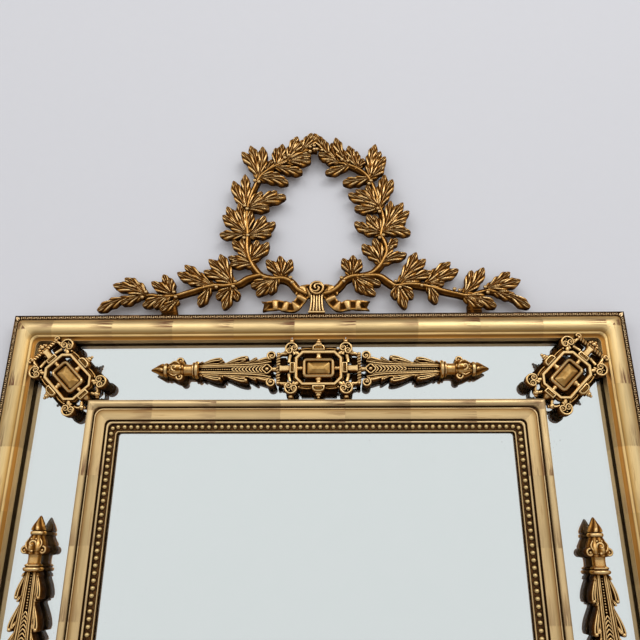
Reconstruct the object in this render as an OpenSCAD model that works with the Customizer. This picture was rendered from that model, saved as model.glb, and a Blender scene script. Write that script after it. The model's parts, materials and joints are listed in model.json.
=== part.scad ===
// Wall mirror with a gilt frame: an outer frame and an inner frame with a
// strip of mirror glass between them, applied ornaments and a laurel crest.
// +X is to the right, +Z is up, and the front looks along -Y.
// The origin is the middle of the back, on the wall.

/* [Overall size] */
// Width over the outer frame
frame_w = 800; // [700:10:1000]
// Height over the outer frame, without the crest
frame_h = 940; // [860:10:1200]
// Visible width of the strip of mirror glass between the two frames
margin_w = 80; // [76:1:100]

/* [Outer frame] */
// Width of an outer rail, seen from the front
outer_rail_w = 37.5; // [34:0.5:46]
// Thickness of the outer frame at its outer edge
outer_edge_t = 24; // [20:0.5:26]
// Width of the embossed band along the outer edge
edge_band_w = 6.5; // [4:0.5:9]
// Rise of the embossed band from its outer to its inner side
edge_band_rise = 1; // [0.5:0.25:2]
// Height of the centre of the round moulding above the wall
torus_centre_d = 22; // [20:0.5:26]
// Lap of the round moulding over the embossed band
torus_lap = 1; // [0.5:0.25:2]
// Width of the flat arris between the round moulding and the inner wall
arris_w = 1.5; // [1:0.25:3]
// Width of an outer rail's back, outside the back panel
back_land_w = 21.5; // [20.5:0.5:23]
// Lap of the outer rails over the edge of the margin glass
glass_lap = 9; // [6:0.5:10]
// Length of the legs of a three-cornered key in an outer mitre
outer_key_leg = 34; // [20:1:36]
// Thickness of a corner key
key_t = 3; // [2:0.5:4]
// Height of the outer corner keys above the wall
outer_key_d = 9; // [8:0.5:11]

/* [Glass and back] */
// Thickness of the back panel
panel_t = 8; // [6:0.5:10]
// Thickness of the mirror glass
glass_t = 4; // [3:0.5:5]
// Gap round each piece of glass, for the wood to move
glass_clear = 1; // [0.5:0.25:2]
// Gap round the back panel and the backing board
panel_clear = 0.5; // [0.25:0.25:1]
// Gap between the mitred ends of two margin glasses
mitre_gap = 0.4; // [0.2:0.1:1]
// Height of the front of the centre glass above the front of the margin glass
centre_glass_rise = 10; // [8:0.5:11]

/* [Inner frame] */
// Width of the round bead along the outside of the inner frame
inner_bead_w = 9.5; // [7:0.5:12]
// Width of each of the two grooves beside the flat frieze
groove_w = 2; // [1.5:0.25:3]
// Width of the flat frieze
frieze_w = 14; // [10:1:24]
// Width of the thin round fillet between the frieze and the pearls
fillet_w = 2.5; // [2:0.5:4]
// Height of the middle of the fillet's round top above the grooves
fillet_rise = 1; // [0.5:0.25:1.5]
// Width of the channel that holds the pearls
channel_w = 8.5; // [8.5:0.5:12]
// Width of the thin edge beside the centre glass
sight_edge_w = 1.5; // [1:0.5:3]
// Height of the thin edge above the floor of the channel
sight_edge_rise = 1; // [0.5:0.25:2.5]
// Height of the top of the inner frame's bead above the margin glass
inner_rise = 20; // [19:0.5:24]
// Height of the frieze below the top of the bead
frieze_drop = 1; // [0.5:0.25:2]
// Depth of the grooves below the frieze
groove_depth = 3; // [2:0.5:4]
// Depth of the pearls' channel below the grooves
channel_depth = 2.5; // [2:0.25:3]
// Lap of the inner frame over the margin glass
inner_lap = 8; // [6:0.5:10]
// Lap of the inner frame over the centre glass
sight_lap = 9; // [7:0.5:10]
// Length of the legs of a three-cornered key in an inner mitre
inner_key_leg = 26; // [16:1:30]
// Height of the inner corner keys above the margin glass
inner_key_rise = 3; // [2:0.5:4]

/* [Pearls] */
// Distance from one pearl to the next
pearl_pitch = 8; // [7:0.5:12]
// Diameter of a pearl
pearl_d = 5.8; // [4:0.2:6.8]
// Width of the strip that carries the pearls
pearl_strip_w = 8; // [7.5:0.25:8.5]
// Thickness of the strip that carries the pearls
pearl_strip_t = 1.5; // [1:0.25:2]

/* [Cartouches] */
// Shift of the top cartouche to the right of the middle
top_shift = 5.5; // [-8:0.5:8]
// Length of the eight-sided ring, along the rail
ring_l = 63; // [56:1:66]
// Width of the eight-sided ring
ring_w = 48; // [46:1:54]
// Width of the ring's bar
ring_bar = 4.5; // [3:0.5:6]
// Cut corner of the eight-sided ring
ring_chamfer = 10; // [8:1:13]
// Length of the collar round the cut stone
collar_l = 41; // [38:1:44]
// Width of the collar round the cut stone
collar_w = 26; // [24:1:30]
// Length of the cut stone
stone_l = 28; // [26:1:32]
// Width of the cut stone
stone_w = 16.5; // [14:0.5:19]
// Cut corner of the collar
collar_cut = 4; // [2:0.5:6]
// Cut corner of the collar's opening for the stone
stone_cut = 1; // [0.5:0.25:2]
// Distance of a scroll lobe from the middle, along the rail
lobe_x = 34.5; // [32:0.5:38]
// Distance of a scroll lobe from the middle, across the rail
lobe_y = 25.5; // [25:0.5:30]
// Radius of a scroll lobe
lobe_r = 8; // [7:0.5:9]
// Height of the top of the cartouche above the glass
cartouche_h = 21; // [20:0.5:26]
// Height of the underside of the cartouche's bars above the glass
cartouche_lift = 12; // [10:0.5:14]
// Thickness of the wall of a scroll lobe
lobe_wall = 2.5; // [2:0.25:3.5]
// Height of the floor inside a scroll lobe above the glass
lobe_floor_h = 9.5; // [8:0.5:9.5]
// Distance of the end bars from the middle of the cartouche
end_bar_x = 51; // [49:0.5:56]
// Length of an end bar
end_bar_l = 34; // [28:1:36]
// Width of an end bar
end_bar_w = 6; // [4:0.5:8]
// Width of the neck between the ring and an end bar
end_neck_w = 9; // [6:0.5:12]
// Width of the tabs between the lobes and the frames
tab_w = 6; // [4:0.5:8]

/* [Sprays] */
// Distance from the middle of the cartouche to the tip of a spray
spray_reach = 214; // [212:1:240]
// Half width of the spray at its root
spray_root_w = 12; // [10:0.5:14]
// Half width of the spray where it meets the collar
spray_end_w = 6.5; // [5:0.5:9]
// Height of the spray's flat body above the glass
spray_h = 10; // [8:0.5:13]
// Radius of the volutes at the root
volute_r = 6.5; // [5:0.5:7]
// Height of the axis of the turned end above the glass
turned_axis_h = 10; // [8:0.5:12]

/* [Crest] */
// Distance from the wall to the back of the crest
crest_back_d = 8; // [5:0.5:9]
// Thickness of the crest
crest_t = 12; // [10:0.5:14]
// Width of the smallest leaf
leaf_w_min = 8.5; // [5:0.5:9.5]
// Width of the widest leaf
leaf_w_max = 13; // [10:0.5:14]
// Step in height from one leaf to another, with seven steps in all
leaf_step = 0.3; // [0.2:0.05:0.4]
// Radius of a stem at its root
stem_r = 4.5; // [3.5:0.25:5.5]
// Radius of a stem at its tip
stem_tip_r = 3; // [2.6:0.1:3.4]
// Radius of a berry
berry_r = 3; // [2.6:0.1:3.6]
// Height of a berry's top above the front of the crest
berry_rise = 0.5; // [0:0.25:1.5]
// Radius of the knot of the bow
knot_r = 10.5; // [8:0.5:12]
// Width of the ribbon
ribbon_w = 13; // [8:0.5:14]
// Diameter of the dowels under the crest
dowel_d = 5; // [4:0.5:6]
// Depth of the dowels in the rail
dowel_depth = 12; // [8:1:16]
// Height of the dowels in the crest
dowel_up = 8; // [6:1:9]
// Height of the dowels above the back of the crest
dowel_rise = 1; // [0.5:0.25:3]

/* [Fixings] */
// Diameter of the heads of the back panel's screws
panel_screw_head = 5.5; // [4.5:0.5:5.5]
// Diameter of the shanks of the back panel's screws
panel_screw_d = 3; // [2.5:0.5:3.5]
// Length of the back panel's screws
panel_screw_l = 14; // [12:1:16]
// Greatest distance between the back panel's screws
panel_screw_pitch = 160; // [120:10:240]
// Distance of the end screws of a row from the line of the next row
panel_screw_inset = 12; // [8:1:30]
// Diameter of the heads of the inner frame's screws
inner_screw_head = 8; // [7:0.5:9]
// Diameter of the shanks of the inner frame's screws
inner_screw_d = 4; // [3.5:0.5:5]
// Length of the inner frame's screws
inner_screw_l = 24; // [18:1:26]
// Greatest distance between the inner frame's screws
inner_screw_pitch = 200; // [150:10:300]
// Distance of the end screws of the inner frame from the line of the next row
inner_screw_inset = 40; // [30:1:60]
// Diameter of the pins that hold the ornaments
pin_d = 1.6; // [1.2:0.1:2]
// Length of the pins that hold the ornaments
pin_l = 14; // [10:1:18]
// Height of a pin above the floor of its lobe
pin_rise = 2; // [1.8:0.1:3]
// Gap round the shank of a screw, pin or dowel
hole_clear = 0.1; // [0.05:0.05:0.2]

/* [Hangers] */
// Distance of the ring hinges below the top of the outer frame
hanger_drop = 170; // [120:10:240]
// Width of the hanger strap
strap_w = 9; // [7:0.5:9.5]
// Length of the hanger strap below the hinge
strap_l = 40; // [34:1:50]
// Thickness of the hanger strap
strap_t = 1.2; // [1:0.1:1.5]
// Diameter of the ring's wire
ring_wire_d = 2.5; // [2:0.1:2.6]
// Width of the hanging ring, between the middles of its legs
ring_span = 13; // [12:0.5:13]
// Length of the straight legs of the hanging ring
ring_leg = 8; // [6:0.5:10]
// Gap round the ring's wire in the strap's loop
hinge_clear = 0.2; // [0.15:0.05:0.3]
// Width of the pocket for the hanger
pocket_w = 17; // [16.5:0.5:18]
// Depth of the pocket for the hanger
pocket_d = 7; // [6.6:0.2:8]
// Diameter of the heads of the hanger's screws
strap_screw_head = 5.4; // [4.6:0.2:5.4]
// Diameter of the shanks of the hanger's screws
strap_screw_d = 2.6; // [2:0.2:3]
// Length of the hanger's screws
strap_screw_l = 13; // [10:1:14]

/* [Hidden] */
$fn = 48;
SIDES = ["top", "left", "bottom", "right"];
CORNERS = ["top_left", "bottom_left", "bottom_right", "top_right"];
SPRAYS = [["top_left", "top_right"], ["left_bottom", "left_top"],
          ["bottom_right", "bottom_left"], ["right_top", "right_bottom"]];

// Heights above the wall
glass_front_d = panel_t + glass_t;
centre_front_d = glass_front_d + centre_glass_rise;
inner_top_d = glass_front_d + inner_rise;
frieze_d = inner_top_d - frieze_drop;
groove_d = frieze_d - groove_depth;
channel_d = groove_d - channel_depth;
crest_front_d = crest_back_d + crest_t;

// Widths that follow from the driving sizes
torus_r = (outer_rail_w - edge_band_w + torus_lap) / 2;
torus_u = outer_rail_w - torus_r;
arris_u = outer_rail_w - arris_w;
arris_d = torus_centre_d + sqrt(torus_r * torus_r - (arris_u - torus_u) * (arris_u - torus_u));
bead_r = inner_bead_w / 2;
bead_centre_d = inner_top_d - bead_r;
frieze_s = inner_bead_w + groove_w;
fillet_s = frieze_s + frieze_w + groove_w;
channel_s = fillet_s + fillet_w;
inner_rail_w = channel_s + channel_w + sight_edge_w;
sight_rebate_s = inner_rail_w - sight_lap;
pearl_s = channel_s + channel_w / 2;
inner_w = frame_w - 2 * (outer_rail_w + margin_w);
inner_h = frame_h - 2 * (outer_rail_w + margin_w);
glass_rebate_u = outer_rail_w - glass_lap;
panel_screw_u = (back_land_w + glass_rebate_u) / 2;
inner_screw_s = (inner_lap + sight_rebate_s) / 2;
lobe_reach = (lobe_x + lobe_y) / sqrt(2) + lobe_r;
corner_x = frame_w / 2 - outer_rail_w - lobe_reach;
corner_y = frame_h / 2 - outer_rail_w - lobe_reach;
spray_root_x = end_bar_x + end_bar_w / 2;
pocket_clear = 1.2;
ring_r = ring_span / 2;
ring_drop = ring_leg + ring_r + ring_wire_d / 2;
loop_bore_r = ring_wire_d / 2 + hinge_clear;
loop_r = loop_bore_r + strap_t;
hinge_d = pocket_d - loop_r;
hinge_y = frame_h / 2 - hanger_drop;
hanger_x = frame_w / 2 - back_land_w / 2;

// Crest: each leaf cluster is a node on the stem and the tips of its leaves.
// All places are from the middle of the frame's top edge, right and up.
WREATH_LEFT_STEM = [
  [-12, 30], [-24, 37], [-33, 48], [-44, 53], [-58, 53], [-72, 57], [-81, 66], [-89, 79],
  [-94, 95], [-95, 110], [-95, 124], [-97, 142], [-97, 160], [-94, 180], [-88, 198],
  [-81, 214], [-69, 226], [-54, 235], [-40, 243], [-26, 252], [-14, 257], [-6, 260], [1, 259]];
WREATH_LEFT_LEAVES = [
  [[-47, 55], [[-67, 80], [-49, 86], [-33, 81]]],
  [[-51, 53], [[-87, 42], [-79, 29], [-61, 31]]],
  [[-85, 74], [[-120, 86], [-117, 74]]],
  [[-90, 80], [[-115, 110], [-103, 113], [-80, 111], [-65, 107]]],
  [[-96, 121], [[-134, 121], [-131, 150], [-126, 164], [-109, 170], [-91, 157]]],
  [[-93, 118], [[-71, 148], [-57, 139], [-62, 122]]],
  [[-97, 160], [[-119, 207], [-103, 218], [-66, 162], [-77, 188]]],
  [[-92, 166], [[-43, 181], [-56, 189]]],
  [[-83, 213], [[-109, 256], [-97, 267], [-79, 264], [-40, 203], [-52, 217]]],
  [[-74, 219], [[-63, 243]]],
  [[-58, 230], [[-59, 262], [-50, 269], [-42, 252], [-20, 221]]],
  [[-42, 240], [[-8, 240], [-28, 281], [-19, 275], [-8, 250]]],
  [[-22, 256], [[-7, 287], [1, 282]]]];
WREATH_LEFT_BERRIES = [
  [-33, 54], [-31, 46], [-94, 118], [-99, 114], [-97, 160], [-102, 165], [-82, 204],
  [-88, 206], [-46, 244], [-40, 249], [-9, 262], [-3, 258], [-9, 254], [-3, 267],
  [1, 258]];
WREATH_RIGHT_STEM = [
  [12, 30], [22, 33], [32, 41], [39, 50], [49, 55], [60, 56], [74, 59], [84, 67], [92, 79],
  [97, 92], [95, 105], [90, 118], [93, 132], [94, 146], [90, 162], [86, 180], [80, 198],
  [73, 213], [62, 224], [48, 232], [34, 236], [20, 243], [4, 254]];
WREATH_RIGHT_LEAVES = [
  [[48, 56], [[37, 81], [51, 86], [61, 80]]],
  [[53, 53], [[88, 43], [80, 28], [65, 31]]],
  [[89, 75], [[64, 103], [80, 111], [124, 88], [106, 104]]],
  [[97, 96], [[112, 110]]],
  [[90, 119], [[54, 138], [66, 125], [72, 149], [81, 148]]],
  [[92, 122], [[131, 120], [130, 154], [122, 168], [105, 170], [125, 140]]],
  [[89, 160], [[54, 161], [46, 184], [57, 189], [72, 197], [98, 214], [109, 205]]],
  [[77, 209], [[38, 202], [100, 244], [86, 266], [93, 254], [97, 230]]],
  [[60, 226], [[47, 264], [58, 255], [68, 241]]],
  [[46, 232], [[13, 220], [28, 278], [41, 251]]],
  [[32, 237], [[3, 251], [14, 240], [22, 270]]],
  [[20, 246], [[-4, 287], [9, 276]]]];
WREATH_RIGHT_BERRIES = [
  [34, 53], [38, 47], [84, 157], [89, 153], [72, 197], [78, 203], [40, 249], [46, 238],
  [9, 257], [88, 112], [93, 116]];
SPRAY_LEFT_STEM = [
  [-74, 58], [-92, 53], [-104, 46], [-122, 43], [-137, 43], [-155, 39], [-172, 34],
  [-188, 29], [-205, 28], [-222, 30], [-234, 29], [-250, 26]];
SPRAY_LEFT_LEAVES = [
  [[-112, 45], [[-131, 89], [-146, 82], [-152, 65]]],
  [[-112, 41], [[-122, 9], [-133, 25], [-104, 22]]],
  [[-138, 43], [[-179, 74], [-188, 62], [-162, 46]]],
  [[-143, 40], [[-156, 14]]],
  [[-192, 30], [[-207, 60], [-197, 54], [-222, 49]]],
  [[-196, 28], [[-231, 14], [-216, 12]]],
  [[-228, 30], [[-274, 45], [-259, 55], [-246, 49]]],
  [[-236, 29], [[-261, 18]]],
  [[-254, 27], [[-292, 8]]]];
SPRAY_LEFT_BERRIES = [
  [-108, 48], [-110, 38], [-133, 40], [-190, 35], [-228, 35], [-232, 26], [-187, 26]];
SPRAY_LEFT_FOOT = [-206, -184, 22];
SPRAY_RIGHT_STEM = [
  [66, 56], [86, 55], [98, 47], [108, 41], [122, 43], [138, 42], [155, 38], [172, 33],
  [188, 29], [200, 26], [214, 29], [228, 33], [240, 31], [252, 28]];
SPRAY_RIGHT_LEAVES = [
  [[113, 45], [[137, 89], [149, 79], [157, 61]]],
  [[110, 42], [[119, 8], [130, 23], [106, 22]]],
  [[148, 43], [[182, 75], [192, 63], [172, 43]]],
  [[151, 41], [[160, 15]]],
  [[198, 28], [[210, 62], [226, 65]]],
  [[199, 27], [[238, 9], [224, 18]]],
  [[228, 36], [[260, 58], [273, 47], [250, 49]]],
  [[238, 31], [[262, 23]]],
  [[252, 30], [[282, 8]]]];
SPRAY_RIGHT_BERRIES = [
  [108, 47], [113, 37], [142, 40], [185, 35], [192, 34], [225, 38], [228, 29]];
SPRAY_RIGHT_FOOT = [201, 219, 26];
BOW_CENTRE = [2, 37];
RIBBON_LEFT = [[-6, 30], [-15, 27], [-22, 18], [-29, 10], [-40, 12], [-50, 17], [-60, 16]];
RIBBON_RIGHT = [[6, 30], [15, 26], [22, 16], [32, 12], [44, 15], [56, 13], [64, 13]];
LOOP_LEFT = [[2, 37], [-9, 36], [-20, 31]];
LOOP_RIGHT = [[2, 37], [12, 36], [22, 31]];
DOWEL_X = [(SPRAY_LEFT_FOOT[0] + SPRAY_LEFT_FOOT[1]) / 2, BOW_CENTRE[0],
           (SPRAY_RIGHT_FOOT[0] + SPRAY_RIGHT_FOOT[1]) / 2];

// Turned end of a spray: distance along the axis from the collar, and radius
TURNED_END = [
  [0, 0], [0, 9], [2, 11], [4, 11.5], [5, 8], [8, 7.5], [14, 7], [19, 7.5], [20, 11],
  [24, 12.5], [30, 12], [36, 9.5], [40, 7.5], [41, 9], [44, 9], [45, 7.5], [50, 6.5],
  [56, 3.8], [61, 1.5], [62, 0]];

collar_x = spray_reach - TURNED_END[len(TURNED_END) - 1][0];

// Turn from drawing coordinates (right, up, height above the wall) to the frame
module front_view() {
  rotate([90, 0, 0]) children();
}

// Put a drawing made for the top side on one of the four sides
module at_side(side, w, h) {
  rotate([0, 0, 90 * side]) translate([0, (side % 2 == 0 ? h : w) / 2, 0]) children();
}

function side_len(side, w, h) = side % 2 == 0 ? w : h;
function corner_sign(corner) = [corner < 2 ? -1 : 1, corner == 0 || corner == 3 ? 1 : -1];

// A length of moulding with both ends mitred; its children are the parts of its profile
module mitred_rail(len, rail_w) {
  intersection() {
    rotate([90, 0, -90])
      for (i = [0:$children - 1]) linear_extrude(height = len, center = true) children(i);
    linear_extrude(height = 2 * inner_top_d)
      polygon([[-len / 2, 0], [len / 2, 0], [len / 2 - rail_w, -rail_w],
               [-len / 2 + rail_w, -rail_w]]);
  }
}

module outer_profile() {
  edge_d = outer_edge_t + edge_band_rise;
  polygon([[0, 0], [0, outer_edge_t], [edge_band_w, edge_d], [arris_u, arris_d],
           [outer_rail_w, arris_d], [outer_rail_w, glass_front_d],
           [glass_rebate_u, glass_front_d], [glass_rebate_u, panel_t],
           [back_land_w, panel_t], [back_land_w, 0]]);
}

// The round moulding, down into the body of the rail
module torus_profile() {
  intersection() {
    translate([torus_u, torus_centre_d]) circle(r = torus_r);
    translate([0, outer_edge_t]) square([outer_rail_w, 2 * torus_r]);
  }
}

module inner_profile() {
  edge_top_d = channel_d + sight_edge_rise;
  polygon([[0, glass_front_d], [0, bead_centre_d], [bead_r, bead_centre_d],
           [bead_r, groove_d], [frieze_s, groove_d], [frieze_s, frieze_d],
           [frieze_s + frieze_w, frieze_d], [frieze_s + frieze_w, groove_d],
           [channel_s, groove_d], [channel_s, channel_d],
           [channel_s + channel_w, channel_d], [channel_s + channel_w, edge_top_d],
           [inner_rail_w, edge_top_d], [inner_rail_w, centre_front_d],
           [sight_rebate_s, centre_front_d], [sight_rebate_s, panel_t],
           [inner_lap, panel_t], [inner_lap, glass_front_d]]);
}

module bead_profile() {
  translate([bead_r, bead_centre_d]) circle(r = bead_r);
}

module fillet_profile() {
  fillet_d = groove_d + fillet_rise;
  translate([fillet_s + fillet_w / 2, fillet_d]) circle(r = fillet_w / 2);
  translate([fillet_s, groove_d - 1]) square([fillet_w, fillet_d - groove_d + 1]);
}

// Three-cornered keys let into the mitres from the outside
module corner_keys(w, h, leg, d) {
  for (corner = [0:3]) {
    s = corner_sign(corner);
    translate([0, 0, d]) linear_extrude(height = key_t)
      polygon([[s[0] * w / 2, s[1] * h / 2], [s[0] * (w / 2 - leg), s[1] * h / 2],
               [s[0] * w / 2, s[1] * (h / 2 - leg)]]);
  }
}

module outer_key_shapes() {
  corner_keys(frame_w, frame_h, outer_key_leg, outer_key_d);
}

module inner_key_shapes() {
  corner_keys(inner_w, inner_h, inner_key_leg, glass_front_d + inner_key_rise);
}

// A countersunk wood screw with its head at height 0
module wood_screw(head_d, shank_d, len, clear = 0) {
  head_h = (head_d - shank_d) / 2;
  tip_h = shank_d / 2;
  cylinder(d1 = head_d + 2 * clear, d2 = shank_d + 2 * clear, h = head_h);
  cylinder(d = shank_d + 2 * clear, h = len - tip_h + clear);
  translate([0, 0, len - tip_h + clear])
    cylinder(d1 = shank_d + 2 * clear, d2 = 0.4, h = tip_h);
}

// Places evenly spaced along a line, set in from both ends
function spaced(len, inset, pitch) =
  let (run = len - 2 * inset, n = ceil(run / pitch))
  [for (i = [0:n]) -run / 2 + i * run / n];

module panel_screw_shapes(clear = 0) {
  inset = panel_screw_u + panel_screw_inset;
  for (side = [0:3])
    at_side(side, frame_w, frame_h)
      for (x = spaced(side_len(side, frame_w, frame_h), inset, panel_screw_pitch))
        translate([x, -panel_screw_u, 0])
          wood_screw(panel_screw_head, panel_screw_d, panel_screw_l, clear);
}

module inner_screw_shapes(clear = 0) {
  inset = inner_screw_s + inner_screw_inset;
  for (side = [0:3])
    at_side(side, inner_w, inner_h)
      for (x = spaced(side_len(side, inner_w, inner_h), inset, inner_screw_pitch))
        translate([x, -inner_screw_s, 0])
          wood_screw(inner_screw_head, inner_screw_d, inner_screw_l, clear);
}

// A pin with its head on the wall of a lobe, seat away from the frame's side
module pin_shape(seat, clear = 0) {
  head_h = pin_d / 2;
  rotate([-90, 0, 0]) translate([0, 0, -seat - head_h]) {
    cylinder(d = pin_d + 2 * clear, h = pin_l + clear, $fn = 24);
    cylinder(d = 2 * pin_d, h = head_h, $fn = 24);
  }
}

// Pins through the lobes of the ornaments into the two frames
module ornament_pin_shapes(clear = 0) {
  pin_h = glass_front_d + lobe_floor_h + pin_rise;
  lobe_bore_r = lobe_r - lobe_wall;
  for (side = [0:3], sx = [-1, 1], sy = [-1, 1])
    at_cartouche(side) translate([sx * lobe_x, sy * margin_w / 2, pin_h - glass_front_d])
      rotate([0, 0, sy > 0 ? 0 : 180]) pin_shape(margin_w / 2 - lobe_y - lobe_bore_r, clear);
  for (corner = [0:3], along = [0, 1]) {
    s = corner_sign(corner);
    lobe_a = (lobe_x - lobe_y) / sqrt(2);
    lobe_b = (lobe_x + lobe_y) / sqrt(2);
    x = s[0] * (corner_x + (along == 0 ? lobe_a : lobe_b + lobe_r));
    y = s[1] * (corner_y + (along == 0 ? lobe_b + lobe_r : lobe_a));
    translate([x, y, pin_h])
      rotate([0, 0, along == 0 ? (s[1] > 0 ? 0 : 180) : -90 * s[0]]) pin_shape(lobe_wall, clear);
  }
}

module dowel_shapes(clear = 0) {
  for (x = DOWEL_X)
    translate([x, frame_h / 2 - dowel_depth - clear, crest_back_d + dowel_d / 2 + dowel_rise])
      rotate([-90, 0, 0])
        cylinder(d = dowel_d + 2 * clear, h = dowel_depth + dowel_up + 2 * clear, $fn = 24);
}

module outer_rail(side) {
  color("goldenrod") front_view() difference() {
    at_side(side, frame_w, frame_h)
      mitred_rail(side_len(side, frame_w, frame_h), outer_rail_w) {
        outer_profile();
        torus_profile();
      }
    outer_key_shapes();
    panel_screw_shapes(hole_clear);
    ornament_pin_shapes(hole_clear);
    if (side == 0) dowel_shapes(hole_clear);
    if (side == 1) hanger_cuts(-1);
    if (side == 3) hanger_cuts(1);
  }
}

module inner_rail(side) {
  color("goldenrod") front_view() difference() {
    at_side(side, inner_w, inner_h)
      mitred_rail(side_len(side, inner_w, inner_h), inner_rail_w) {
        inner_profile();
        bead_profile();
        fillet_profile();
      }
    inner_key_shapes();
    inner_screw_shapes(hole_clear);
    ornament_pin_shapes(hole_clear);
  }
}

module outer_corner_keys() {
  color("peru") front_view() outer_key_shapes();
}

module inner_corner_keys() {
  color("peru") front_view() inner_key_shapes();
}

module pearl(x) {
  translate([x, -pearl_strip_w / 2, channel_d + pearl_d / 2]) sphere(d = pearl_d, $fn = 24);
}

// A thin mitred strip with a row of pearls; each corner pearl sits on a top or
// bottom strip, so the side strips start one pitch in
module pearl_strip(side) {
  len = side_len(side, inner_w, inner_h) - 2 * pearl_s;
  n = round(len / pearl_pitch);
  step = len / n;
  first = side % 2 == 0 ? 0 : 1;
  half_w = pearl_strip_w / 2;
  color("gold") front_view()
    at_side(side, inner_w - 2 * (pearl_s - half_w), inner_h - 2 * (pearl_s - half_w)) {
      mitred_l = len + pearl_strip_w;
      difference() {
        translate([0, 0, channel_d]) linear_extrude(height = pearl_strip_t)
          polygon([[-mitred_l / 2, 0], [mitred_l / 2, 0],
                   [mitred_l / 2 - pearl_strip_w, -pearl_strip_w],
                   [-mitred_l / 2 + pearl_strip_w, -pearl_strip_w]]);
        if (first == 1) for (s = [-1, 1]) pearl(s * len / 2);
      }
      for (i = [first:n - first]) pearl(-len / 2 + i * step);
    }
}

module margin_glass(side) {
  len = side_len(side, frame_w, frame_h);
  top_u = glass_rebate_u + glass_clear;
  bottom_u = outer_rail_w + margin_w + inner_lap - glass_clear;
  color("lightsteelblue") front_view() at_side(side, frame_w, frame_h)
    translate([0, 0, panel_t]) linear_extrude(height = glass_t)
      polygon([[-len / 2 + top_u + mitre_gap, -top_u], [len / 2 - top_u - mitre_gap, -top_u],
               [len / 2 - bottom_u - mitre_gap, -bottom_u],
               [-len / 2 + bottom_u + mitre_gap, -bottom_u]]);
}

module flat_board(w, h, d, t) {
  translate([-w / 2, -h / 2, d]) cube([w, h, t]);
}

module centre_glass() {
  inset = 2 * (sight_rebate_s + glass_clear);
  color("lightsteelblue") front_view()
    flat_board(inner_w - inset, inner_h - inset, centre_front_d - glass_t, glass_t);
}

module backing_board() {
  inset = 2 * (sight_rebate_s + panel_clear);
  color("burlywood") front_view()
    flat_board(inner_w - inset, inner_h - inset, panel_t, centre_front_d - glass_t - panel_t);
}

module back_panel() {
  inset = 2 * (back_land_w + panel_clear);
  color("burlywood") front_view() difference() {
    flat_board(frame_w - inset, frame_h - inset, 0, panel_t);
    panel_screw_shapes(hole_clear);
    inner_screw_shapes(hole_clear);
  }
}

module panel_screws() {
  color("silver") front_view() panel_screw_shapes();
}

module inner_frame_screws() {
  color("silver") front_view() inner_screw_shapes();
}

// An eight-sided plate with cut corners
module eight_sided(l, w, cut) {
  polygon([[-l / 2 + cut, -w / 2], [l / 2 - cut, -w / 2], [l / 2, -w / 2 + cut],
           [l / 2, w / 2 - cut], [l / 2 - cut, w / 2], [-l / 2 + cut, w / 2],
           [-l / 2, w / 2 - cut], [-l / 2, -w / 2 + cut]]);
}

module centred_block(l, w, z0, z1) {
  translate([-l / 2, -w / 2, z0]) cube([l, w, z1 - z0]);
}

// The open ring, the set stone and the struts between them
module cartouche_core() {
  bar_top = cartouche_h - 1;
  box_floor = cartouche_lift - 2;
  strut_top = bar_top - 2;
  bezel_gap = 0.5;
  plate_t = 2.5;
  plate_inset = 3;
  plate_sink = 1;
  table_w = 2;
  table_inset = 14;
  girdle_t = 4;
  end_strut_w = 7;
  side_strut_w = 6;
  end_box = [16, 9];
  end_box_lap = 1;
  side_box = [7, 14];
  side_box_lap = 1;
  finial_r = 4;
  translate([0, 0, cartouche_lift]) linear_extrude(height = bar_top - cartouche_lift)
    difference() {
      eight_sided(ring_l, ring_w, ring_chamfer);
      eight_sided(ring_l - 2 * ring_bar, ring_w - 2 * ring_bar,
                  ring_chamfer - ring_bar * (2 - sqrt(2)));
    }
  translate([0, 0, cartouche_lift]) linear_extrude(height = cartouche_h - cartouche_lift)
    difference() {
      eight_sided(collar_l, collar_w, collar_cut);
      eight_sided(stone_l + 2 * bezel_gap, stone_w + 2 * bezel_gap, stone_cut);
    }
  translate([0, 0, cartouche_lift - plate_sink]) linear_extrude(height = plate_t)
    eight_sided(collar_l - plate_inset, collar_w - plate_inset, collar_cut);
  hull() {
    centred_block(stone_l, stone_w, cartouche_lift, cartouche_lift + girdle_t);
    centred_block(stone_l - table_inset, table_w, cartouche_lift, bar_top);
  }
  for (s = [-1, 1]) {
    translate([0, s * (collar_w + ring_w) / 4, 0])
      centred_block(end_strut_w, (ring_w - collar_w) / 2, cartouche_lift, strut_top);
    translate([s * (collar_l + ring_l) / 4, 0, 0])
      centred_block((ring_l - collar_l) / 2, side_strut_w, cartouche_lift, strut_top);
    translate([0, s * (ring_w / 2 + end_box[1] / 2 - end_box_lap), 0])
      centred_block(end_box[0], end_box[1], box_floor, cartouche_h);
    translate([s * (ring_l / 2 + side_box[0] / 2 - side_box_lap), 0, 0])
      centred_block(side_box[0], side_box[1], box_floor, cartouche_h);
    translate([0, s * (ring_w / 2 + end_box[1]), bar_top - finial_r]) sphere(r = finial_r);
  }
}

// One pierced scroll lobe on a post that stands on the glass
module scroll_lobe() {
  lobe_eye_r = 2.4;
  difference() {
    cylinder(r = lobe_r, h = cartouche_h - 1);
    translate([0, 0, lobe_floor_h]) cylinder(r = lobe_r - lobe_wall, h = cartouche_h);
  }
  cylinder(r = lobe_eye_r, h = cartouche_h - 2);
}

// The four lobes and the necks that join them to the cut corners of the ring
module scroll_lobes() {
  neck_l = norm([lobe_x - ring_l / 2, lobe_y - ring_w / 2]) + ring_chamfer / sqrt(2);
  neck_w = 8;
  neck_h = 7;
  for (sx = [-1, 1], sy = [-1, 1]) {
    translate([sx * lobe_x, sy * lobe_y, 0]) {
      scroll_lobe();
      rotate([0, 0, atan2(-sy, -sx)])
        translate([lobe_r - 1, -neck_w / 2, lobe_floor_h])
          cube([neck_l - lobe_r + 1, neck_w, neck_h]);
    }
  }
}

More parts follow.
